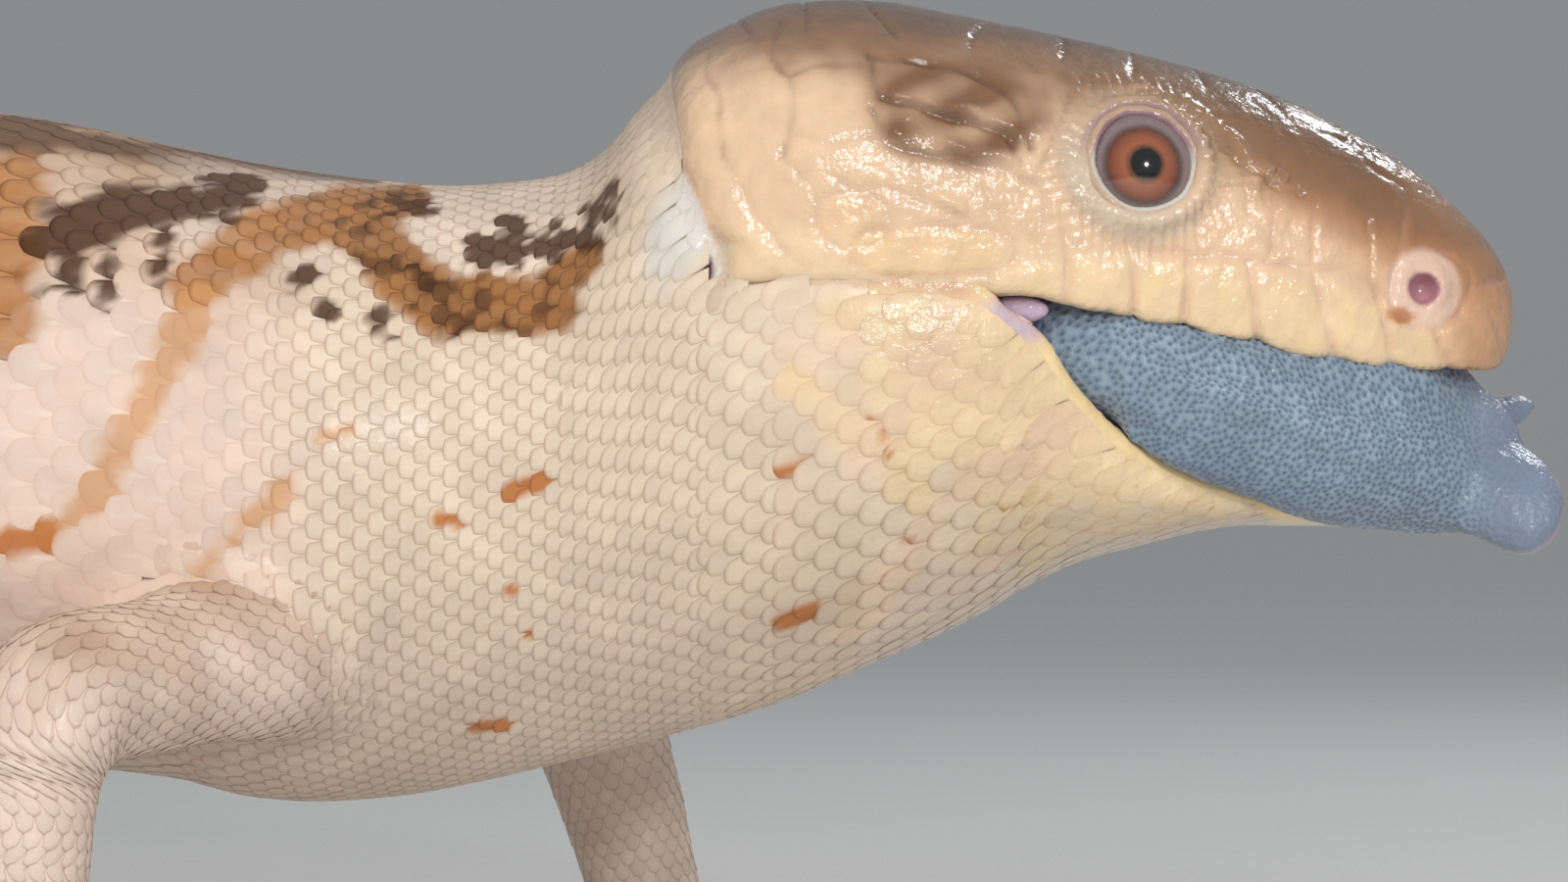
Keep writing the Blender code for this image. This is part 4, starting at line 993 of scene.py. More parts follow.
# Creases and ridges of the head's side: depth (a ridge is below zero), half width, shade, then the line's
# stations and heights
sideLines = [
    (0.34, 0.30, 0.75, [(46.7, 71.0), (42.6, 70.5), (40.2, 70.0), (38.0, 69.1), (36.6, 67.7), (35.4, 64.7)]),
    (0.30, 0.26, 0.6, [(46.7, 71.0), (46.4, 69.3), (45.8, 68.0)]),
    (0.36, 0.32, 0.8, [(45.8, 68.0), (43.9, 67.5), (40.8, 66.6), (37.4, 65.6), (36.7, 64.7)]),
    (0.28, 0.26, 0.5, [(46.6, 67.1), (45.3, 64.7)]),
    (0.28, 0.32, 0.6, [(45.2, 64.6), (41.8, 63.9), (38.5, 63.2), (35.1, 62.4)]),
    (-0.50, 0.5, 0, [(43.1, 67.9), (40.8, 67.5), (38.4, 66.8), (36.9, 66.1)]),
    (-0.44, 0.5, 0, [(45.1, 65.4), (41.8, 64.8), (38.5, 64.1), (35.6, 63.3)]),
    (0.20, 0.24, 0.4, [(52.8, 73.5), (53.4, 71.2), (52.1, 69.6), (50.5, 70.2), (47.3, 70.2)]),
    (0.16, 0.24, 0.3, [(52.1, 69.4), (51.9, 67.4), (52.1, 65.5), (52.6, 63.7)]),
    (0.16, 0.24, 0.3, [(57.7, 71.3), (57.8, 69.8), (56.9, 68.0), (56.9, 65.9), (56.5, 63.8)]),
    (0.30, 0.28, 0.4, [(28.4, 68.6), (26.8, 68.2), (25.6, 67.9), (24.3, 67.1), (22.2, 65.4), (20.2, 63.6),
    (17.9, 62.1), (16.3, 61.7)]),
    (-0.52, 0.42, 0, [(28.2, 69.2), (26.8, 68.9), (25.4, 68.5), (24.1, 67.8), (21.9, 66.1), (19.8, 64.3),
    (17.7, 62.8)]),
    (0.26, 0.28, 0.3, [(32.5, 61.4), (31.5, 60.1), (29.1, 58.7), (27.1, 57.6), (23.1, 57.5)]),
    (-0.42, 0.38, 0, [(32.2, 61.6), (31.1, 60.2), (28.9, 58.8), (26.9, 58.0), (24.2, 57.9)]),
    (0.20, 0.20, 0.25, [(20.5, 63.1), (20.3, 60.5)]), (0.20, 0.20, 0.25, [(19.3, 61.6), (18.2, 60.2)]),
    (0.16, 0.2, 0.2, [(20.6, 61.9), (19.1, 62.2)]), (-0.36, 0.32, 0, [(19.9, 62.6), (19.7, 60.9)]),
    (-0.36, 0.32, 0, [(23.7, 63.4), (21.6, 62.6), (19.4, 62.9)]),
    (0.22, 0.22, 0.3, [(18.5, 60.6), (18.7, 57.4)]), (-0.28, 0.3, 0, [(18.0, 60.1), (18.1, 58.0)]),
    (0.22, 0.22, 0.3, [(15.5, 60.8), (15.8, 57.1)]), (-0.28, 0.3, 0, [(15.0, 60.0), (15.2, 57.8)]),
    (0.20, 0.22, 0.3, [(11.4, 60.0), (11.6, 56.2)]), (-0.24, 0.3, 0, [(10.9, 59.0), (11.1, 57.0)]),
    (0.20, 0.24, 0.3, [(28.6, 57.8), (24.6, 57.6), (22.4, 57.6), (20.1, 57.2), (18.3, 56.8), (14.4, 56.6),
    (11.8, 55.8), (10.7, 54.9)]),
    (0.18, 0.24, 0.25, [(33.1, 56.9), (33.2, 54.2)]), (0.22, 0.24, 0.35, [(28.4, 57.6), (28.4, 53.5)]),
    (0.24, 0.24, 0.35, [(24.6, 57.5), (24.9, 52.5)]), (0.24, 0.24, 0.35, [(20.4, 57.2), (19.6, 51.6)]),
    (0.24, 0.24, 0.35, [(15.8, 56.6), (14.2, 50.4)]), (0.24, 0.24, 0.35, [(11.2, 55.2), (9.9, 50.0)]),
    (0.26, 0.24, 0.4, [(6.9, 52.4), (8.8, 52.7), (10.0, 53.9), (10.1, 55.6), (9.2, 57.3), (7.3, 58.0),
    (5.3, 57.6), (3.9, 56.4), (4.1, 55.0), (5.3, 53.4), (6.9, 52.4)]),
    (0.24, 0.24, 0.4, [(6.9, 52.4), (6.2, 51.0), (5.2, 49.6)]),
    (0.22, 0.24, 0.35, [(4.1, 55.0), (2.8, 55.7), (0.9, 56.2)]),
    (0.18, 0.24, 0.3, [(8.2, 62.6), (8.8, 60.1), (9.4, 57.6)]),
    (0.18, 0.24, 0.3, [(12.9, 66.1), (11.0, 64.0), (8.2, 62.4)]),
    (0.14, 0.26, 0.2, [(50.5, 59.7), (49.9, 60.9), (48.0, 61.4), (46.2, 60.9), (45.3, 59.5), (46.0, 58.1),
    (48.0, 57.7), (49.7, 58.2), (50.5, 59.7)]),
    (0.20, 0.26, 0.25, [(48.0, 57.7), (46.9, 58.7), (43.9, 59.2), (39.8, 59.1), (37.1, 58.6), (36.6, 57.4),
    (37.8, 56.2), (41.8, 55.7), (45.9, 55.8), (47.6, 56.5), (48.0, 57.7)]),
    (0.18, 0.26, 0.15, [(45.5, 61.8), (43.2, 60.8), (39.7, 59.6)]),
    (-0.26, 0.35, 0, [(45.2, 62.4), (43.0, 61.4), (39.9, 60.3)]),
    (0.15, 0.26, 0.15, [(49.5, 62.5), (48.1, 61.8), (45.5, 61.8)]),
    (0.16, 0.24, 0.2, [(35.1, 62.3), (33.6, 60.6), (33.2, 58.6), (33.1, 56.9)]),
    (0.16, 0.24, 0.25, [(35.1, 62.8), (33.9, 65.1), (33.0, 67.5), (31.8, 69.8)]),
    (0.12, 0.24, 0.15, [(52.6, 63.7), (50.6, 61.6), (50.4, 59.9)]),
    (0.12, 0.24, 0.15, [(56.5, 63.8), (54.8, 60.5), (52.5, 57.6), (50.9, 56.2)]),
    (0.12, 0.24, 0.15, [(52.1, 65.5), (49.2, 64.9), (46.6, 65.4)]),
    (0.12, 0.24, 0.15, [(38.6, 61.7), (37.6, 59.9), (37.1, 58.6)]),
    (0.12, 0.24, 0.15, [(43.6, 63.9), (43.5, 61.3)]), (0.10, 0.24, 0.1, [(40.9, 55.7), (40.8, 54.9)]),
]
# Where each angle round the head meets its surface, as a run from the crown
widestTurn = 1.95
headTable = {
    "stations": np.concatenate([[0.05, 0.3, 0.7, 1.2], np.arange(2, 68, 1.0)]),
    "angles": np.linspace(0, widestTurn, 90),
}
headTable["run"] = np.zeros((len(headTable["stations"]), len(headTable["angles"])))
for i, station in enumerate(headTable["stations"]):
    outline, run, _ = headHalf(station, 120)
    middle = float(along(build["lipLine"], station)) + 2.5
    turn = np.arctan2(outline[:, 0], outline[:, 1] - middle)
    headTable["run"][i] = np.interp(headTable["angles"], turn, run)


def runOf(points):
    # station and run from the crown of points near the head's outer surface
    station = np.clip(build["snoutX"] - points[:, 0], 0.05, 67)
    middle = along(build["lipLine"], station) + 2.5
    turn = np.arctan2(np.abs(points[:, 1]), points[:, 2] - middle)
    rows = np.interp(station, headTable["stations"], np.arange(len(headTable["stations"])))
    columns = np.clip(turn / widestTurn * (len(headTable["angles"]) - 1), 0, len(headTable["angles"]) - 1.001)
    return station, sample(headTable["run"][..., None], rows, columns)[..., 0]


def cells(station, run, seeds):
    # nearest shield, distance to the seam in mm and the way across it
    first, second = np.full(len(station), 9e9), np.full(len(station), 9e9)
    way1, way2 = np.zeros((len(station), 2)), np.zeros((len(station), 2))
    who = np.zeros(len(station), int)
    for k, (s, r, a, b, t, _) in enumerate(seeds):
        dx, dy = station - s, run - r
        u = (dx * math.cos(t) - dy * math.sin(t)) / a
        v = (dx * math.sin(t) + dy * math.cos(t)) / b
        far = np.maximum(np.hypot(u, v), 1e-6)
        slope = np.column_stack([
            u * math.cos(t) / a + v * math.sin(t) / b,
            -u * math.sin(t) / a + v * math.cos(t) / b]) / far[:, None]
        closer = far < first
        beats = ~closer & (far < second)
        second = np.where(closer, first, np.where(beats, far, second))
        way2 = np.where(closer[:, None], way1, np.where(beats[:, None], slope, way2))
        first = np.where(closer, far, first)
        way1 = np.where(closer[:, None], slope, way1)
        who = np.where(closer, k, who)
    across = way2 - way1
    steep = np.maximum(np.linalg.norm(across, axis=1), 1e-6)
    return who, (second - first) / steep, across / steep[:, None]


def lineRelief(station, height, uneven):
    # height and shade that the creases and ridges give to points seen from the side
    relief, shade = np.zeros(len(station)), np.zeros(len(station))
    at = np.column_stack([station, height])
    for depth, half, dark, knots in sideLines:
        way = np.array(knots)
        if len(knots) > 2:
            way = curveThrough([(*k, 0) for k in knots], 4 * len(knots))[:, :2]
        low, high = way.min(0) - 1.2, way.max(0) + 1.2
        near = np.where(np.all((at > low) & (at < high), axis=1))[0]
        far = np.full(len(near), 9.0)
        for a, b in zip(way[:-1], way[1:]):
            stretch = b - a
            t = np.clip((at[near] - a) @ stretch / max(stretch @ stretch, 1e-9), 0, 1)
            far = np.minimum(far, np.linalg.norm(at[near] - a - t[:, None] * stretch, axis=1))
        bell = np.exp(-((far / half) ** 2)) * np.clip(0.8 + 0.6 * uneven[near], 0.2, 1.3)
        if depth > 0:
            relief[near] = np.minimum(relief[near], -depth * bell)
            shade[near] = np.maximum(shade[near], dark * bell)
        else:
            relief[near] += -depth * bell
    return relief, shade


def sideBall(side, at, half, **more):
    return ball((at[0], side * at[1], at[2]), half, **more)


def headStations(front, back, tip, count):
    return tip + np.linspace(math.sqrt(front - tip), math.sqrt(back - tip), count) ** 2


def headLoft(name, halfOf, halfStations, count):
    rings = []
    for station in halfStations:
        outline, _, inside = halfOf(station, count)
        half = np.vstack([outline, inside]) if halfOf is headHalf else np.vstack([inside, outline])
        ring = bothSides(half)
        rings.append(inBody(np.full(len(ring), station), ring[:, 0], ring[:, 1]))
    return loft(name, rings)


headSettings = {
    "voxel": 0.30, "smoothing": 4, "back": 66.0,
    "seam": 0.14, "labial": 0.24, "lobe": 0.34, "sunk": 0.28,  # depths and heights of the relief
}
head = headLoft("skin_head", headHalf, headStations(0.02, headSettings["back"], 0.0, 110), 60)
adds, holes = [], []


def gaze(side):
    # turns +Z to the way an eye looks, and puts it at the eye
    place = Matrix.Translation(Vector(toScene((eye["at"][0], side * eye["at"][1], eye["at"][2]))))
    turn = Matrix.Rotation(math.radians(-eye["forward"] * side), 4, "Z")
    return place @ turn @ Matrix.Rotation(math.radians((eye["up"] - 90) * side), 4, "X")


def eyeForm(side, grow, segments=64, rings=40):
    bpy.ops.mesh.primitive_uv_sphere_add(segments=segments, ring_count=rings, radius=1)
    form = bpy.context.active_object
    size = [(half + grow) * mm for half in eye["half"]]
    form.data.transform(gaze(side) @ Matrix.Diagonal((*size, 1)))
    return form


def ringRound(side, major, minor, out, steps=(72, 20)):
    bpy.ops.object.select_all(action="DESELECT")
    bpy.ops.mesh.primitive_torus_add(
        major_segments=steps[0], minor_segments=steps[1], major_radius=major * mm, minor_radius=minor * mm)
    ring = bpy.context.active_object
    wide = Matrix.Diagonal((eye["wide"], 1, 1, 1))
    ring.data.transform(gaze(side) @ Matrix.Translation((0, 0, out * mm)) @ wide)
    return ring


for side in (-1, 1):
    adds.append(ringRound(side, eye["lid"], eye["lidThick"], eye["lidOut"]))
    holes.append(eyeForm(side, 0.1))
    nx, ny, nz = nostril["at"]
    adds.append(sideBall(side, (nx, ny - 0.9, nz), (nostril["rim"], 1.6, nostril["rim"])))
    holes.append(sideBall(side, (nx, ny + 0.5, nz), (nostril["radius"], nostril["depth"], nostril["radius"])))
head = joined("skin_head", [head] + adds)
remesh(head, headSettings["voxel"] * 1.5, 2)
for hole in holes:
    carve(head, hole)
remesh(head, headSettings["voxel"], headSettings["smoothing"])
print("skink: head,", len(head.data.polygons), "faces")

headColours = palette(
    crown=(122, 86, 57), snout=(188, 138, 96), cheek=(220, 187, 155), lip=(228, 200, 164), top=(84, 60, 42),
    ochre=(230, 188, 128), seam=(104, 72, 50), socket=(132, 122, 128), jaw=(232, 204, 154),
    mouth=(196, 150, 160), nasal=(228, 196, 176), nostril=(178, 130, 138), throat=(222, 203, 168),
    # slit is painted shade for the hollow of the ear's slit
    ear=(218, 208, 202), slit=(96, 62, 60), white=(226, 222, 210), rust=(176, 104, 44), mauve=(146, 118, 124),
    lid=(180, 152, 124), rosy=(204, 152, 132), labial=(232, 206, 152), tan=(184, 128, 82),
    corner=(200, 176, 192), rim=(204, 197, 188), rimTop=(150, 118, 124), lining=(194, 172, 194),
    claw=(92, 74, 60))
# Heights at which the brown of the crown begins, by station
crownLines = ([0, 6, 12, 20, 32, 42, 50, 60], [56.6, 57.8, 60.0, 64.0, 68.5, 69.5, 70.5, 71])


# Seams of the lip shields, by station at their top and at the lip, and the heights of their upper edge
labials = {
    "top": (38.6, 33.1, 28.4, 24.6, 20.4, 15.8, 11.2, 6.9, 3.0),
    "foot": (38.6, 33.2, 28.4, 24.9, 19.6, 14.2, 9.9, 5.2, 1.0),
    "upper": [(1, 55.8), (6.9, 52.6), (11, 55.4), (18, 56.8), (24, 57.5), (29, 57.7), (33, 57.2), (38.6, 56.4)],
}


def labialPillow(station, height):
    # 1 in the middle of each lip shield, 0 at its seams
    low = along(build["lipLine"], station) - 0.3
    high = np.interp(station, *zip(*labials["upper"]))
    v = (height - low) / np.maximum(high - low, 0.5)
    tops, feet = np.array(labials["top"])[::-1], np.array(labials["foot"])[::-1]
    pillow = np.zeros(len(station))
    for k in range(len(tops) - 1):
        front, back = feet[k] + (tops[k] - feet[k]) * v, feet[k + 1] + (tops[k + 1] - feet[k + 1]) * v
        t = (station - front) / np.maximum(back - front, 0.5) * 2 - 1
        inside = np.clip(1 - t**4, 0, 1) * np.clip(1 - np.abs(2 * v - 0.9) ** 3, 0, 1)
        pillow = np.maximum(pillow, np.where(np.abs(t) < 1, inside, 0))
    return np.sqrt(np.clip(pillow, 0, 1))


def headTint(points, station):
    height = points[:, 2]
    crown = height - np.interp(station, *crownLines)
    uneven = (0.9 * waves(points, 8, 21) + 0.4 * waves(points, 2.5, 25)) * (0.4 + 0.6 * ramp(station, 18, 30))
    lipShare = ramp(along(build["lipLine"], station) + 5.0 - height, 0, 2.5) * ramp(station, 3, 9)
    temple = ramp(1.2 - np.hypot((station - 40.8) / 6.4, (height - 67.0) / 3.9), 0, 0.45)
    labial = labialPillow(station, height) ** 2 * (0.38 + 0.3 * waves(points, 2.4, 32))
    tint = paint(
        plain(headColours["cheek"], points), headColours,
        ("snout", ramp(-station, -15, -4) * 0.8),
        ("lip", lipShare * 0.8),
        ("tan", ramp(crown + 2.2, -2.5, 2.5) * (1 - ramp(station, 16, 25)) * 0.75),
        ("crown", ramp(crown + uneven, -3.4, 2.0) * (0.9 - 0.2 * ramp(-station, -12, -2))),
        ("top", ramp(crown + uneven, 1.4, 5.5) * ramp(station, 4, 14) * 0.75),
        ("crown", temple * (0.85 + 0.3 * waves(points, 2.5, 44)) * 0.95),
        ("labial", labial * ramp(station, 5, 9)))
    for s, z, long, high, share in ((43.0, 57.4, 5.6, 1.8, 0.3), (47.9, 59.5, 2.4, 1.8, 0.2)):
        inside = ramp(1.05 - np.hypot((station - s) / long, (height - z) / high), 0, 0.18)
        tint = blend(tint, headColours["ochre"], inside * share)
    return tint * (1 + 0.04 * waves(points, 3, 22) + 0.03 * waves(points, 1.1, 23))[:, None]



seeds = np.array([(s, r, a, b, math.radians(t), up) for s, r, a, b, t, up in crownShields])
points = inModel(coords(head.data))
normal = vertexNormals(head.data)
station, run = runOf(points)
who, seam, across = cells(station, run, seeds)
sideSign = np.where(points[:, 1] < 0, -1.0, 1.0)
eyeAxes = np.array([np.array(gaze(side).to_3x3()) for side in (-1, 1)])
fromEye = points - np.where(sideSign[:, None] < 0, (eye["at"][0], -eye["at"][1], eye["at"][2]), eye["at"])
fromEye = np.einsum("nk,nkj->nj", fromEye, eyeAxes[(sideSign > 0).astype(int)])
eyeRing = np.hypot(fromEye[:, 0] / eye["wide"], fromEye[:, 1])
inSocket = np.linalg.norm(fromEye / (np.array(eye["half"]) + 0.28), axis=1) < 1
atEye = fromEye[:, 2] > 0
lidZone = (eyeRing < eye["lidZone"]) & atEye
nasal = np.hypot(points[:, 0] - nostril["at"][0], points[:, 2] - nostril["at"][2])
lipLow = along(build["lipLine"], station)
outer = (points[:, 2] > lipLow - 0.7) & ~((points[:, 2] < lipLow + 1.6) & (normal[:, 2] < -0.75))
shielded = outer & ~lidZone & (nasal > 2.3)
# the vertices nearest a seam are drawn onto it, so that it reads as one clean line
crownFrom = np.interp(station, [0, 8, 20, 32, 42, 50, 60], [59, 63.5, 69, 71, 72, 73, 72])
crownShare = ramp(points[:, 2] - crownFrom, -0.6, 0.6)
pull = np.where(shielded & (crownShare > 0.4) & (seam < headSettings["voxel"] * 0.55), seam, 0.0)
lengthwise = np.tile([-1.0, 0, 0], (len(points), 1))
lengthwise -= normal * np.sum(lengthwise * normal, axis=1)[:, None]
downward = np.cross(lengthwise, normal) * sideSign[:, None]
points = points - pull[:, None] * (lengthwise * across[:, :1] + downward * across[:, 1:])
behindFold = station - foldAt(points[:, 2])
raised = seeds[who, 5]
pillow = np.clip(seam / 1.4, 0, 1) ** 0.5
seamFar = np.where(pull > 0, 0, seam)
groove = headSettings["seam"] * np.exp(-((seamFar / 0.16) ** 2))
relief = np.where(shielded, (raised * pillow - groove - 0.10) * crownShare, 0.0)
unevenStation = station + 0.12 * waves(points, 3.5, 27)
unevenHeight = points[:, 2] + 0.1 * waves(points, 2.8, 28)
creases, creaseShade = lineRelief(unevenStation, unevenHeight, waves(points, 4.0, 29))
facing = ramp(np.abs(normal[:, 1]), 0.12, 0.4) * outer * ~lidZone
relief += creases * facing
relief += headSettings["labial"] * labialPillow(station, points[:, 2]) * facing * (nasal > 2.4)
beadTurn = np.arctan2(fromEye[:, 1], fromEye[:, 0])
for beadRing, beads, tall in eye["beads"]:
    bead = tall * np.cos(beads * beadTurn + 9 * beadRing + 1.5 * waves(points, 4, 41))
    relief += bead * np.exp(-(((eyeRing - beadRing) / 0.3) ** 2)) * atEye * ~inSocket
relief += (0.03 * waves(points, 2.6, 24) + 0.012 * waves(points, 1.1, 26)) * facing
relief = np.where(behindFold > 0, 0, relief) + foldRelief(station, points[:, 2])
relief -= headSettings["sunk"] * ramp(behindFold, -0.1, 0.6)
earHere = ramp(1.35 - earRing(station, points[:, 2]), 0, 0.3) * (behindFold > 0)
# the ear's slit is sunk into the skin and painted dark, as painted shade in its hollow
slit = np.exp(-(((station - 57.7) / 0.45) ** 2) - ((points[:, 2] - 56.0) / 1.0) ** 2)
slit = slit * (np.abs(points[:, 1]) > 10)
relief += 0.25 * earHere - 0.8 * slit
points = points + normal * relief[:, None]
lobe = labialPillow(station, lipLow + 1.0) ** 2
atLip = ramp(lipLow + 1.6 - points[:, 2], 0, 1.4) * ramp(np.abs(points[:, 1]), 4, 6) * ramp(-station, -34, -30)
points[:, 2] -= headSettings["lobe"] * lobe * atLip
setCoords(head.data, toScene(points))
neckTint = coatTint(points, station, points[:, 2], run / 70.0)
# behind the fold the head lies under the neck's scales and takes the same painted shade
tint = np.where((behindFold > 0.3)[:, None], neckTint * 0.85, headTint(points, station))
seamShade = np.where(shielded & (behindFold < 0), np.exp(-((seamFar / 0.2) ** 2)) * crownShare * 0.6, 0.0)
seamShade = np.maximum(seamShade, creaseShade * facing * (behindFold < 0))
rosy = ramp(-points[:, 2], -63, -58) * facing
ringShade = ramp(6.4 - eyeRing, 0, 1.6) * atEye
above, ahead = fromEye[:, 1] * sideSign, fromEye[:, 0]
lipInside = along(build["halfWidth"], station) - along(build["lipTuck"], station) - 0.9
inner = ramp(lipInside - np.abs(points[:, 1]), 0, 0.6) * ramp(-normal[:, 2], 0.2, 0.6)
inner = inner * (points[:, 2] < lipLow + 2.5) * (station < 40)
spot = np.hypot((station - 9.4) / 1.1, (points[:, 2] - 53.4) / 0.62) + 0.15 * waves(points, 1.0, 42)
onSnout = np.abs(points[:, 1]) > 5
tint = paint(
    tint, headColours,
    ("ear", earHere * 0.9),
    # painted shade in the ear's slit
    ("slit", ramp(slit, 0.25, 0.6)),
    ("seam", seamShade * (1 - rosy) * (0.5 + 0.4 * ramp(points[:, 2], 60, 66))),
    ("rosy", seamShade * rosy),
    ("lid", ramp(6.6 - eyeRing, 0, 1.4) * atEye * (0.75 - 0.4 * ramp(ahead, -1, 4))),
    ("white", ringShade * (0.03 + 0.22 * ramp(-ahead * 0.6 + above, -1, 4))),
    ("mauve", ramp(4.45 - eyeRing, 0, 0.4) * ramp(-above, -0.5, 2) * atEye * 0.6),
    ("socket", inSocket * 0.8),
    ("mouth", inner),
    ("nasal", ramp(3.2 - nasal, 0, 0.8) * onSnout * 0.8),
    ("nostril", ramp(1.35 - nasal, 0, 0.3) * onSnout),
    ("rust", ramp(1.2 - spot, 0, 0.5) * 0.8))
setColour(head.data, "tint", tint)
setValue(head.data, "edge", seamShade)
print("skink: head shields")

# The lower jaw
jawSettings = {"voxel": 0.34, "smoothing": 4, "raise": 1.2}
jawStations = headStations(build["jawTip"] + 0.03, headSettings["back"], build["jawTip"], 90)
jaw = headLoft("skin_jaw", jawHalf, jawStations, 46)
remesh(jaw, jawSettings["voxel"], jawSettings["smoothing"])
points = inModel(coords(jaw.data))
normal = vertexNormals(jaw.data)
station = build["snoutX"] - points[:, 0]
belowMouth = mouthAt(station) - points[:, 2]
depth = np.where(station > 17, 0.2 * ramp(belowMouth, 0.0, 0.5) + 0.25 * ramp(belowMouth, 1.0, 3.0), 0.0)
depth += 0.2 * ramp(belowMouth, -0.9, 0.0) * ramp(station, 38, 40)
depth = np.maximum(depth * ramp(station, 17, 21), 0.8 * ramp(station, 54.5, 56) * ramp(belowMouth, -0.5, 0.5))
raised = ramp(station, 37.5, 39.5) * ramp(-belowMouth, -1.2, 0) * (1 - ramp(station, 56, 58))
points[:, 2] += jawSettings["raise"] * raised
depth += np.maximum(-foldRelief(station, points[:, 2]), 0) * ramp(station, 54, 56)
points = points - normal * depth[:, None]
setCoords(jaw.data, toScene(points))
corner = ramp(1.3 - np.hypot((station - 36.4) / 2.8, (points[:, 2] - 53.0) / 1.9), 0, 0.8)
inside = (normal[:, 2] > 0.7) & (station < 40)
tint = paint(
    plain(headColours["jaw"], points), headColours,
    ("throat", ramp(station, 38, 56)),
    ("corner", corner * 0.9),
    ("rosy", ramp(station, 38, 41) * ramp(1.0 - np.abs(belowMouth + 0.4), 0, 0.6) * 0.7),
    ("mouth", inside * 1.0))
setColour(jaw.data, "tint", tint * (1 + 0.04 * waves(points, 4, 31))[:, None])
setValue(jaw.data, "edge", np.zeros(len(points)))
print("skink: lower jaw,", len(jaw.data.polygons), "faces")


# Eyes, each with the pale rim of its lid
eyes, eyeRims = {}, []
for side, name in ((-1, "right"), (1, "left")):
    axes = np.array(gaze(side).to_3x3())
    middle = np.array([eye["at"][0], side * eye["at"][1], eye["at"][2]])
    eyeball = eyeForm(side, 0, 96, 72)
    eyeball.name = "eyeball_" + name
    eyeball.data.shade_smooth()
    points = inModel(coords(eyeball.data))
    ahead, up = eye["look"]
    look = np.array([ahead, side * 1.0, up])
    look /= np.linalg.norm(look)
    onAxis = look / np.linalg.norm((axes.T @ look) / eye["half"])
    far = np.linalg.norm(points - middle - onAxis, axis=1)
    points = points + look * (eye["bulge"] * np.exp(-((far / 2.3) ** 2)))[:, None]
    setCoords(eyeball.data, toScene(points))
    setValue(eyeball.data, "fromPupil", far)
    eyes[name] = eyeball

    rim = ringRound(side, eye["rimWide"], eye["rimThick"], eye["rimOut"], (96, 20))
    local = (inModel(coords(rim.data)) - middle) @ axes
    lower = 1 - ramp(-local[:, 1] * side, -0.6, 1.6)
    fromRim = np.hypot(local[:, 0] / eye["wide"], local[:, 1])
    local[:, :2] *= (1 - 0.04 * (1 - lower))[:, None]
    local[:, 0] += 0.24 * ramp(-local[:, 0], 0.8, 3.6)
    local[:, 2] += 0.30 * ramp(-local[:, 0], 0.8, 3.6) - 0.24 * ramp(local[:, 0], 1.0, 4.0)
    local *= (1 + 0.012 * waves(local, 1.6, 43))[:, None]
    local[:, 2] += 0.10 * (1 - lower) - 0.02 * lower
    setCoords(rim.data, toScene(local @ axes.T + middle))
    rimTint = headColours["rim"] * lower[:, None] + headColours["rimTop"] * (1 - lower[:, None])
    setColour(rim.data, "tint", blend(rimTint, headColours["lid"], ramp(fromRim, 3.64, 3.78) * 0.9))
    setValue(rim.data, "edge", np.zeros(len(local)))
    rim.name = "eyelid_rim_" + name
    rim.data.shade_smooth()
    eyeRims.append(rim)
print("skink: eyes")

# Tongue
tongueSettings = {
    "voxel": 0.165, "smoothing": 4, "lift": 1.7, "spread": 1.9,
    "spacing": 0.375, "pit": 0.13, "pitHalf": 0.14,  # of the papillae
}
source = bpy.data.objects["tongue"]
tongue = source.copy()
tongue.data = source.data.copy()
tongue.name = "tongue_skin"
bpy.context.scene.collection.objects.link(tongue)
cleanUp(tongue)
remesh(tongue, 0.5, 6)
remesh(tongue, tongueSettings["voxel"], tongueSettings["smoothing"])


def scatter(points, spacing, seed):
    # evenly spread seeds on a surface
    order = np.random.default_rng(seed).permutation(len(points))
    taken, chosen = {}, []
    for i in order:
        p = points[i]
        key = tuple(int(part // spacing) for part in p)
        free = True
        for dx in (-1, 0, 1):
            for dy in (-1, 0, 1):
                for dz in (-1, 0, 1):
                    for q in taken.get((key[0] + dx, key[1] + dy, key[2] + dz), ()):
                        if (p[0] - q[0]) ** 2 + (p[1] - q[1]) ** 2 + (p[2] - q[2]) ** 2 < spacing**2:
                            free = False
        if free:
            taken.setdefault(key, []).append(p)
            chosen.append(p)
    return np.array(chosen)


def bumps(points, seedPoints):
    # distance to the nearest seed and to the seam with the next one
    finder = KDTree(len(seedPoints))
    for i, p in enumerate(seedPoints):
        finder.insert(p, i)
    finder.balance()
    near, seam = np.zeros(len(points)), np.zeros(len(points))
    for i, p in enumerate(points):
        (_, _, a), (_, _, b) = finder.find_n(p, 2)
        near[i], seam[i] = a, b - a
    return near, seam


def aboveLip(points):
    return points[:, 2] - along(build["lipLine"], build["snoutX"] - points[:, 0])


points = inModel(coords(tongue.data))
normal = vertexNormals(tongue.data)
seedPoints = scatter(points, tongueSettings["spacing"], 5)
near, _ = bumps(points, seedPoints)
tip = ramp(points[:, 0], 48.5, 53)
pit = np.exp(-((near / tongueSettings["pitHalf"]) ** 2))
points = points - normal * (tongueSettings["pit"] * pit * (1 - 0.7 * tip))[:, None]
points += normal * (0.035 * waves(points, 1.6, 52))[:, None]
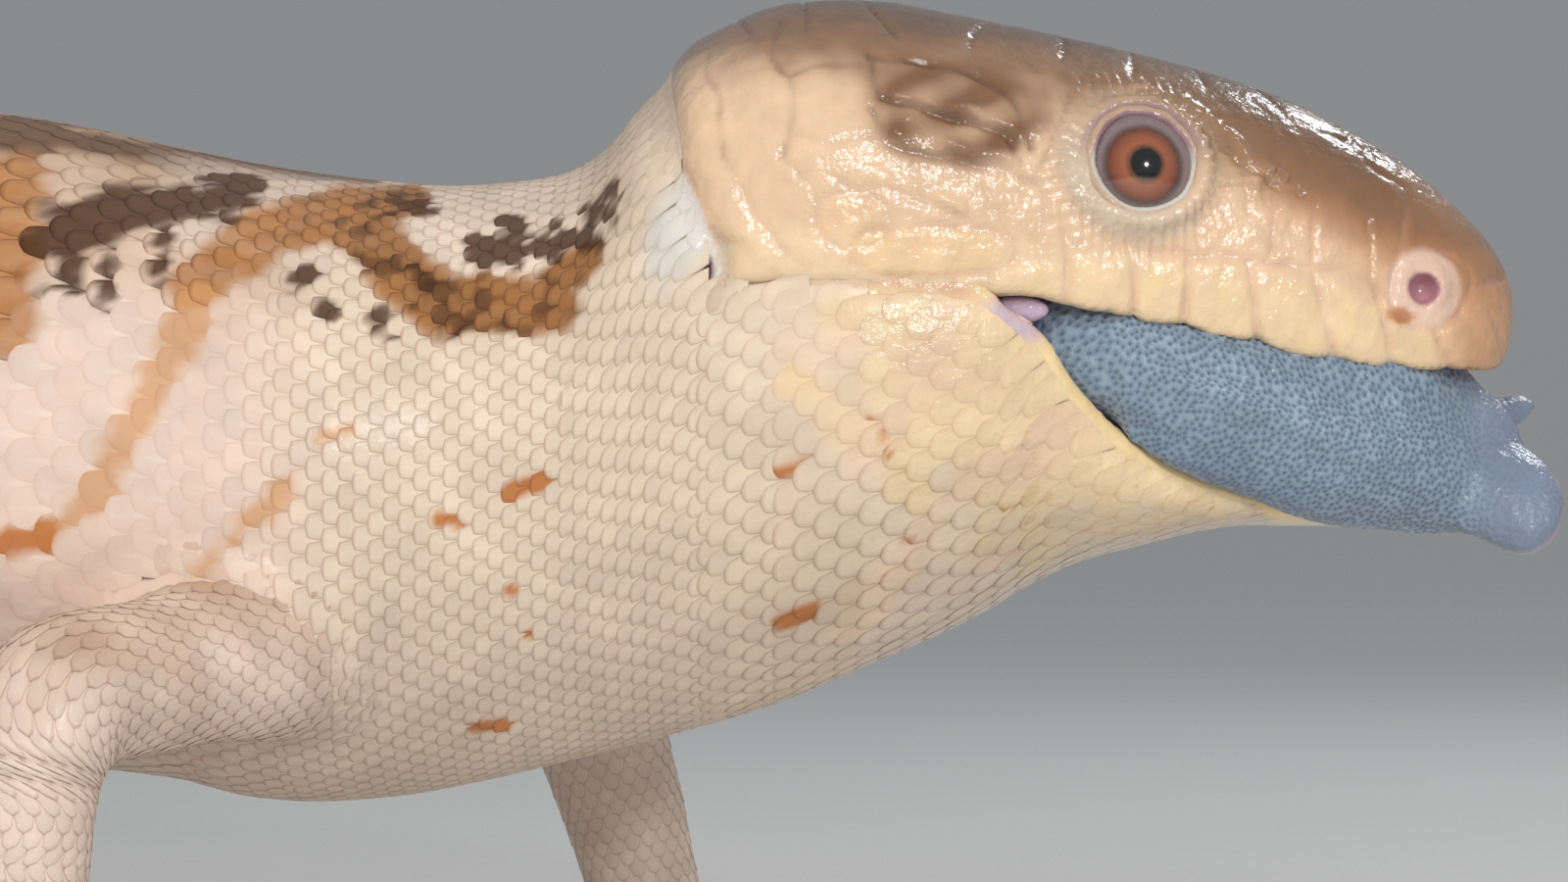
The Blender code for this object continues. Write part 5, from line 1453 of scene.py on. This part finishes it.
# it widens and rises to meet the upper lip, and its root draws back into the mouth
under = ramp(aboveLip(points), -8.5, -1.5) * ramp(-points[:, 0], -52, -46)
points[:, 1] += tongueSettings["spread"] * under * np.sign(points[:, 1]) * ramp(np.abs(points[:, 1]), 4, 8)
points[:, 0] -= 2.2 * ramp(-points[:, 0], -25, -20)
points[:, 2] += tongueSettings["lift"] * ramp(aboveLip(points), -4.0, -0.8) * ramp(-points[:, 0], -52, -46)
points[:, 2] += 0.6 * ramp(-points[:, 0], -30, -23) * ramp(points[:, 2], 47, 51)
setCoords(tongue.data, toScene(points))
# dark is painted shade for the pits between the papillae
tongueColours = palette(
    blue=(140, 158, 174), deep=(86, 108, 142), dark=(62, 84, 108), tip=(104, 112, 136), edge=(186, 160, 168))
# painted shade: the tongue is darker low down and toward its root, where the jaw shades it
shadeLow = ramp(-points[:, 2] - 0.35 * points[:, 0], -58, -50) * ramp(-points[:, 0], -46, -34)
fromTip = np.hypot(points[:, 0] - 53.3, points[:, 2] - 40.3)
tint = paint(
    plain(tongueColours["blue"], points), tongueColours,
    # painted shade in the pits between the papillae
    ("dark", np.exp(-((near / 0.19) ** 2)) * (1 - 0.7 * tip) * 0.9),
    # painted shade low on the tongue
    ("deep", shadeLow * 0.45),
    ("tip", tip * 0.6),
    ("edge", ramp(fromTip, 3.3, 3.9) * ramp(points[:, 0] - 0.6 * (points[:, 2] - 40), 53.5, 56) * 0.7))
setColour(tongue.data, "tint", tint * (1 + 0.06 * waves(points, 5, 51))[:, None])
print("skink: tongue,", len(tongue.data.polygons), "faces,", len(seedPoints), "papillae")

# Lilac lining in the corner of the mouth
lining = {"at": (17.9, 16.6, 53.6), "half": (2.3, 0.8, 0.95)}
linings = []
for side, name in ((-1, "right"), (1, "left")):
    piece = sideBall(side, lining["at"], lining["half"], segments=32, rings=20)
    piece.name = "mouth_lining_" + name
    piece.data.shade_smooth()
    flatTint(piece, headColours["lining"])
    linings.append(piece)

# Feet and claws
footSettings = {
    "palm": (6.6, 5.6, 3.3), "sink": 0.6, "spread": (-58, -29, -4, 20, 47), "voxel": 0.34, "grain": 0.11,
    "toe": 1.55,  # radius; the knots give share of the length, height, share of the radius
    "toeKnots": (
        (0, 2.5, 1), (0.3, 2.3, 0.96), (0.5, 2.05, 1.04), (0.62, 1.8, 0.94), (0.8, 1.35, 0.95),
        (0.95, 1.0, 0.8),
        (1.0, 0.9, 0.6)),
    "claw": 3.1,  # length; the knots give share of the length, height, radius, after the root's own
    "clawRoot": (-1.2, 1.35, 0.62),
    "clawKnots": ((0, 1.45, 0.66), (0.45, 1.4, 0.52), (0.8, 0.95, 0.3), (1, 0.45, 0.09)),
}
feet, claws = [], []
for number, (name, leg) in enumerate(legs.items()):
    side = leg["side"]
    ahead, out, heading = leg["foot"]
    palm = inBody(leg["station"], side * out, footSettings["palm"][2] - footSettings["sink"], ahead)
    _, _, bodyTurn = onLine(leg["station"])
    turn = math.radians(heading) * -side - float(bodyTurn)
    foot = ball((0, 0, 0), footSettings["palm"])
    foot.data.transform(Matrix.Translation(-Vector(toScene((0, 0, 0)))))
    foot.data.transform(Matrix.Translation(Vector(toScene(palm))) @ Matrix.Rotation(turn, 4, "Z"))
    pieces = [foot]
    line = legLine(leg, 60)
    pieces.append(tubeAlong("shin", line[53:, :3], line[53:, 3] - 0.5))
    clawPieces = []
    for spread, length in zip(footSettings["spread"], leg["toes"]):
        angle = turn + math.radians(spread) * side
        way = np.array([math.cos(angle), math.sin(angle), 0])
        base = np.array([palm[0], palm[1], 0]) + way * footSettings["palm"][1] * 0.45
        reach = footSettings["palm"][1] * 0.55 + length
        knots = []
        for t, z, r in footSettings["toeKnots"]:
            knots.append([*(base + way * reach * t + (0, 0, z)), footSettings["toe"] * r])
        smooth = curveThrough(knots, 24)
        pieces.append(tubeAlong("toe", smooth[:, :3], smooth[:, 3], 16))
        tipAt = base + way * reach
        clawLine = [footSettings["clawRoot"]]
        clawLine += [(footSettings["claw"] * t, z, r) for t, z, r in footSettings["clawKnots"]]
        smooth = curveThrough([[*(tipAt + way * t + (0, 0, z)), r] for t, z, r in clawLine], 14)
        clawPieces.append(tubeAlong("claw", smooth[:, :3], smooth[:, 3], 12))
    foot = joined("foot_" + name, pieces)
    remesh(foot, footSettings["voxel"], 3)
    points = inModel(coords(foot.data))
    normal = vertexNormals(foot.data)
    seedPoints = scatter(points, 1.0, 60 + number)
    near, seam = bumps(points, seedPoints)
    points = points + normal * (footSettings["grain"] * np.clip(1 - (near / 0.75) ** 2, -0.3, 1))[:, None]
    points[:, 2] = np.maximum(points[:, 2], 0.0)
    setCoords(foot.data, toScene(points))
    # painted shade in the grooves between the foot's scales, in brown and through the edge attribute
    groove = ramp(-seam, -0.3, 0.0)
    tint = paint(
        plain(coatColours["limb"], points), coatColours,
        ("limbTop", ramp(points[:, 2], 1, 5) * 0.8), ("brown", groove * 0.45))
    setColour(foot.data, "tint", tint * (1 + 0.08 * waves(points, 3, 61))[:, None])
    setValue(foot.data, "edge", groove)
    claw = joined("claws_" + name, clawPieces)
    points = inModel(coords(claw.data))
    points[:, 2] = np.maximum(points[:, 2], 0.0)
    setCoords(claw.data, toScene(points))
    claw.data.shade_smooth()
    feet.append(foot)
    claws.append(claw)
print("skink: feet and claws")


# Materials

def nodesOf(material):
    material.use_nodes = True
    tree = material.node_tree
    return tree, tree.nodes["Principled BSDF"]


def mathNode(tree, operation, *values):
    # each value is a number or the socket that feeds the node
    node = tree.nodes.new("ShaderNodeMath")
    node.operation = operation
    for socket, value in zip(node.inputs, values):
        if isinstance(value, bpy.types.NodeSocket):
            tree.links.new(value, socket)
        else:
            socket.default_value = value
    return node.outputs[0]


surfaceInputs = ("Edge Colour", "Edge Share", "Mottle Scale", "Mottle", "Rough", "Grain Scale", "Grain")


def skinGroup():
    # colour, roughness and fine grain that the skin, scales, tongue and claws share
    group = bpy.data.node_groups.new("skin_surface", "ShaderNodeTree")
    for title in ("Tint", "Edge", *surfaceInputs):
        kind = "NodeSocketColor" if title in ("Tint", "Edge Colour") else "NodeSocketFloat"
        group.interface.new_socket(title, in_out="INPUT", socket_type=kind)
    outputs = (("Colour", "NodeSocketColor"), ("Roughness", "NodeSocketFloat"), ("Normal", "NodeSocketVector"))
    for title, kind in outputs:
        group.interface.new_socket(title, in_out="OUTPUT", socket_type=kind)
    new, link = group.nodes.new, group.links.new
    given, result = new("NodeGroupInput").outputs, new("NodeGroupOutput").inputs
    place = new("ShaderNodeTexCoord").outputs["Object"]
    noises = []
    for scale, detail in (("Mottle Scale", 5.0), ("Grain Scale", 4.0)):
        noise = new("ShaderNodeTexNoise")
        noise.inputs["Detail"].default_value = detail
        link(place, noise.inputs["Vector"])
        link(given[scale], noise.inputs["Scale"])
        noises.append(noise.outputs["Fac"])
    mottle = mathNode(group, "SUBTRACT", noises[0], 0.5)
    # painted shade: where the Edge attribute is set, the colour is darkened toward Edge Colour
    darker = new("ShaderNodeMix")
    darker.data_type, darker.blend_type = "RGBA", "MULTIPLY"
    link(mathNode(group, "MULTIPLY", given["Edge"], given["Edge Share"]), darker.inputs["Factor"])
    link(given["Tint"], darker.inputs["A"])
    link(given["Edge Colour"], darker.inputs["B"])
    final = new("ShaderNodeVectorMath")
    final.operation = "SCALE"
    link(darker.outputs["Result"], final.inputs[0])
    link(mathNode(group, "MULTIPLY_ADD", mottle, given["Mottle"], 1.0), final.inputs["Scale"])
    link(final.outputs["Vector"], result["Colour"])
    link(mathNode(group, "MULTIPLY_ADD", mottle, 0.3, given["Rough"]), result["Roughness"])
    bump = new("ShaderNodeBump")
    bump.inputs["Strength"].default_value = 0.6
    link(given["Grain"], bump.inputs["Distance"])
    link(noises[1], bump.inputs["Height"])
    link(bump.outputs["Normal"], result["Normal"])
    return group



surface = skinGroup()


def skinMaterial(name, settings):
    material = bpy.data.materials.new(name)
    tree, shader = nodesOf(material)
    shared = tree.nodes.new("ShaderNodeGroup")
    shared.node_tree = surface
    for title, key, output in (("Tint", "tint", "Color"), ("Edge", "edge", "Fac")):
        source = tree.nodes.new("ShaderNodeAttribute")
        source.attribute_name = key
        tree.links.new(source.outputs[output], shared.inputs[title])
    for title in surfaceInputs:
        shared.inputs[title].default_value = settings[title]
    for title in ("Roughness", "Normal"):
        tree.links.new(shared.outputs[title], shader.inputs[title])
    tree.links.new(shared.outputs["Colour"], shader.inputs["Base Color"])
    tree.links.new(shared.outputs["Normal"], shader.inputs["Coat Normal"])
    for title, value in (
            ("Coat Weight", settings["coat"]), ("Coat Roughness", settings["film"]),
            ("Specular IOR Level", settings["shine"]), ("Subsurface Weight", settings["flesh"]),
            ("Subsurface Radius", (0.0012, 0.0006, 0.0004)), ("Subsurface Scale", 1.0)):
        shader.inputs[title].default_value = value
    return material


# Colours of the eye, by distance from the pupil's middle in units of eyeReach
eyeReach = 5.0
eyeRings = [
    (0.225, (4, 3, 3)), (0.25, (84, 48, 30)), (0.33, (146, 84, 54)), (0.45, (130, 70, 44)),
    (0.545, (92, 48, 34)), (0.58, (86, 70, 66)), (0.66, (128, 110, 110)), (0.9, (112, 98, 98)),
]


def eyeMaterial():
    material = bpy.data.materials.new("eye_surface")
    tree, shader = nodesOf(material)
    new, link = tree.nodes.new, tree.links.new
    far = new("ShaderNodeAttribute")
    far.attribute_name = "fromPupil"
    noise = new("ShaderNodeTexNoise")
    noise.inputs["Scale"].default_value = 2600
    link(new("ShaderNodeTexCoord").outputs["Object"], noise.inputs["Vector"])
    wobble = mathNode(tree, "MULTIPLY_ADD", noise.outputs["Fac"], 0.22, far.outputs["Fac"])
    iris = new("ShaderNodeValToRGB")
    first, last = iris.color_ramp.elements
    first.position, first.color = 0, (0.003, 0.003, 0.003, 1)
    last.position, last.color = 1, (*linear(110, 100, 104), 1)
    for at, colour in eyeRings:
        stop = iris.color_ramp.elements.new(at)
        stop.color = (*linear(*colour), 1)
    link(mathNode(tree, "MULTIPLY", wobble, 1 / eyeReach), iris.inputs["Fac"])
    link(iris.outputs["Color"], shader.inputs["Base Color"])
    for title, value in (("Roughness", 0.12), ("Coat Weight", 1.0), ("Coat Roughness", 0.02)):
        shader.inputs[title].default_value = value
    return material



wet = {
    "Edge Colour": (0.55, 0.45, 0.4, 1), "Edge Share": 0.0, "Mottle Scale": 420, "Mottle": 0.22, "Rough": 0.5,
    "Grain Scale": 1200, "Grain": 0.00026, "film": 0.11, "coat": 0.9, "shine": 0.35, "flesh": 0.14,
}
scaleLook = {
    **wet, "Edge Colour": (0.42, 0.31, 0.25, 1), "Edge Share": 1.0, "Mottle Scale": 330, "Grain": 0.00008,
    "film": 0.2, "coat": 0.18, "shine": 0.25,
}
tongueLook = {
    **wet, "Mottle Scale": 260, "Rough": 0.42, "Grain Scale": 2600, "Grain": 0.00025,
    "film": 0.13, "coat": 1.0, "flesh": 0.1,
}
clawLook = {**wet, "Mottle Scale": 500, "Rough": 0.35, "Grain": 0.00005, "coat": 0.2}
headSkin = skinMaterial("head_skin", wet)
coatSkin = skinMaterial("scale_skin", scaleLook)
jowlSkin = skinMaterial("jowl_skin", {**scaleLook, "coat": 0.8, "film": 0.14, "Grain": 0.00022})
underSkin = skinMaterial("under_skin", scaleLook)
tongueSkin = skinMaterial("tongue_surface", tongueLook)
clawHorn = skinMaterial("claw_horn", clawLook)
eyeSurface = eyeMaterial()


def finish(obj, material, *replaced, slot="skin"):
    obj.data.materials.clear()
    obj.data.materials.append(material)
    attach(obj, "root")
    if replaced:
        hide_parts(*replaced)


legNodes = [node for leg in legs.values() for node in leg["nodes"][:2]]
finish(skin, underSkin, "neck", "chest", "belly", "hips", "tail_base", "tail_middle", "tail_tip", *legNodes)
finish(head, headSkin, "head", "ear_right", "ear_left")
finish(jaw, headSkin, "lower_jaw")
for piece in linings + eyeRims:
    finish(piece, headSkin)
for piece in coatPieces:
    finish(piece, jowlSkin if piece.name == "scales_jowl" else coatSkin)
for foot, claw, leg in zip(feet, claws, legs.values()):
    finish(foot, underSkin, leg["nodes"][2])
    flatTint(claw, headColours["claw"])
    finish(claw, clawHorn)
for name, eyeball in eyes.items():
    finish(eyeball, eyeSurface, "eye_" + name, slot="eye")
finish(tongue, tongueSkin, "tongue", slot="tongue")

# Floor, light and camera
view = {"x": 2.0, "z": 44.6, "distance": 350.0, "lens": 111.4}
room = {
    "size": 8, "wallAt": 3.9, "wallHigh": 5, "bend": 2.4, "bendSteps": 24, "paint": (0.72, 0.72, 0.71, 1),
    "sky": (0.80, 0.82, 0.85, 1), "skyStrength": 0.45, "aim": (0, 0, 45),
}
# place, size in metres, watts, colour, and whether it shows in reflections
lights = {
    "key": ((-60, -420, 420), 0.30, 1.6, (1, 0.97, 0.93), False),
    "near": ((197, -338, 172), 0.035, 0.36, (1, 1, 1), True),
    "fill": ((-40, -430, 170), 0.25, 0.24, (1, 0.97, 0.93), False),
    "rim": ((225, 330, 320), 0.07, 0.28, (0.95, 0.97, 1), True),
}
bpy.ops.object.select_all(action="DESELECT")
bpy.ops.mesh.primitive_plane_add(size=room["size"], location=(0, 0, 0))
floor = bpy.context.active_object
floor.name = "floor"


def pickEdges(top):
    # the floor's edges at its back, below the given height
    bpy.ops.object.mode_set(mode="EDIT")
    bpy.ops.mesh.select_mode(type="EDGE")
    bpy.ops.mesh.select_all(action="DESELECT")
    bpy.ops.object.mode_set(mode="OBJECT")
    ends = [floor.data.vertices[k].co for k in range(len(floor.data.vertices))]
    for edge in floor.data.edges:
        edge.select = all(ends[k].y > room["wallAt"] and ends[k].z < top for k in edge.vertices)
    bpy.ops.object.mode_set(mode="EDIT")


pickEdges(1.0)
bpy.ops.mesh.extrude_region_move(TRANSFORM_OT_translate={"value": (0, 0, room["wallHigh"])})
pickEdges(0.1)
bpy.ops.mesh.bevel(offset=room["bend"], segments=room["bendSteps"], profile=0.5)
bpy.ops.object.mode_set(mode="OBJECT")
floor.data.shade_smooth()
floorMaterial = bpy.data.materials.new("floor_paint")
_, shader = nodesOf(floorMaterial)
shader.inputs["Base Color"].default_value = room["paint"]
shader.inputs["Roughness"].default_value = 0.7
floor.data.materials.append(floorMaterial)
world = bpy.data.worlds.new("studio")
bpy.context.scene.world = world
world.use_nodes = True
world.node_tree.nodes["Background"].inputs["Color"].default_value = room["sky"]
world.node_tree.nodes["Background"].inputs["Strength"].default_value = room["skyStrength"]


def lookAt(obj, target):
    obj.rotation_euler = (target - obj.location).to_track_quat("-Z", "Y").to_euler()


for name, (place, size, power, colour, glossy) in lights.items():
    light = bpy.data.lights.new(name, "AREA")
    light.shape, light.size, light.energy, light.color = "DISK", size, power, colour
    lamp = bpy.data.objects.new(name, light)
    lamp.location = Vector(toScene(place))
    lookAt(lamp, Vector(toScene(room["aim"])))
    lamp.visible_glossy = glossy
    bpy.context.scene.collection.objects.link(lamp)
camera = bpy.data.objects.new("camera", bpy.data.cameras.new("camera"))
bpy.context.scene.collection.objects.link(camera)
camera.data.lens, camera.data.sensor_width = view["lens"], 36
camera.data.clip_start = 0.01
target = Vector(toScene((view["x"], 0, view["z"])))
camera.location = target + Vector((0, -1, 0)) * view["distance"] * mm
lookAt(camera, target)
bpy.context.scene.camera = camera
bpy.context.scene.view_settings.view_transform = "Standard"

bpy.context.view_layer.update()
total = sum(len(o.data.polygons) for o in bpy.data.objects if o.type == "MESH")
print("skink: done,", total, "faces in the scene")
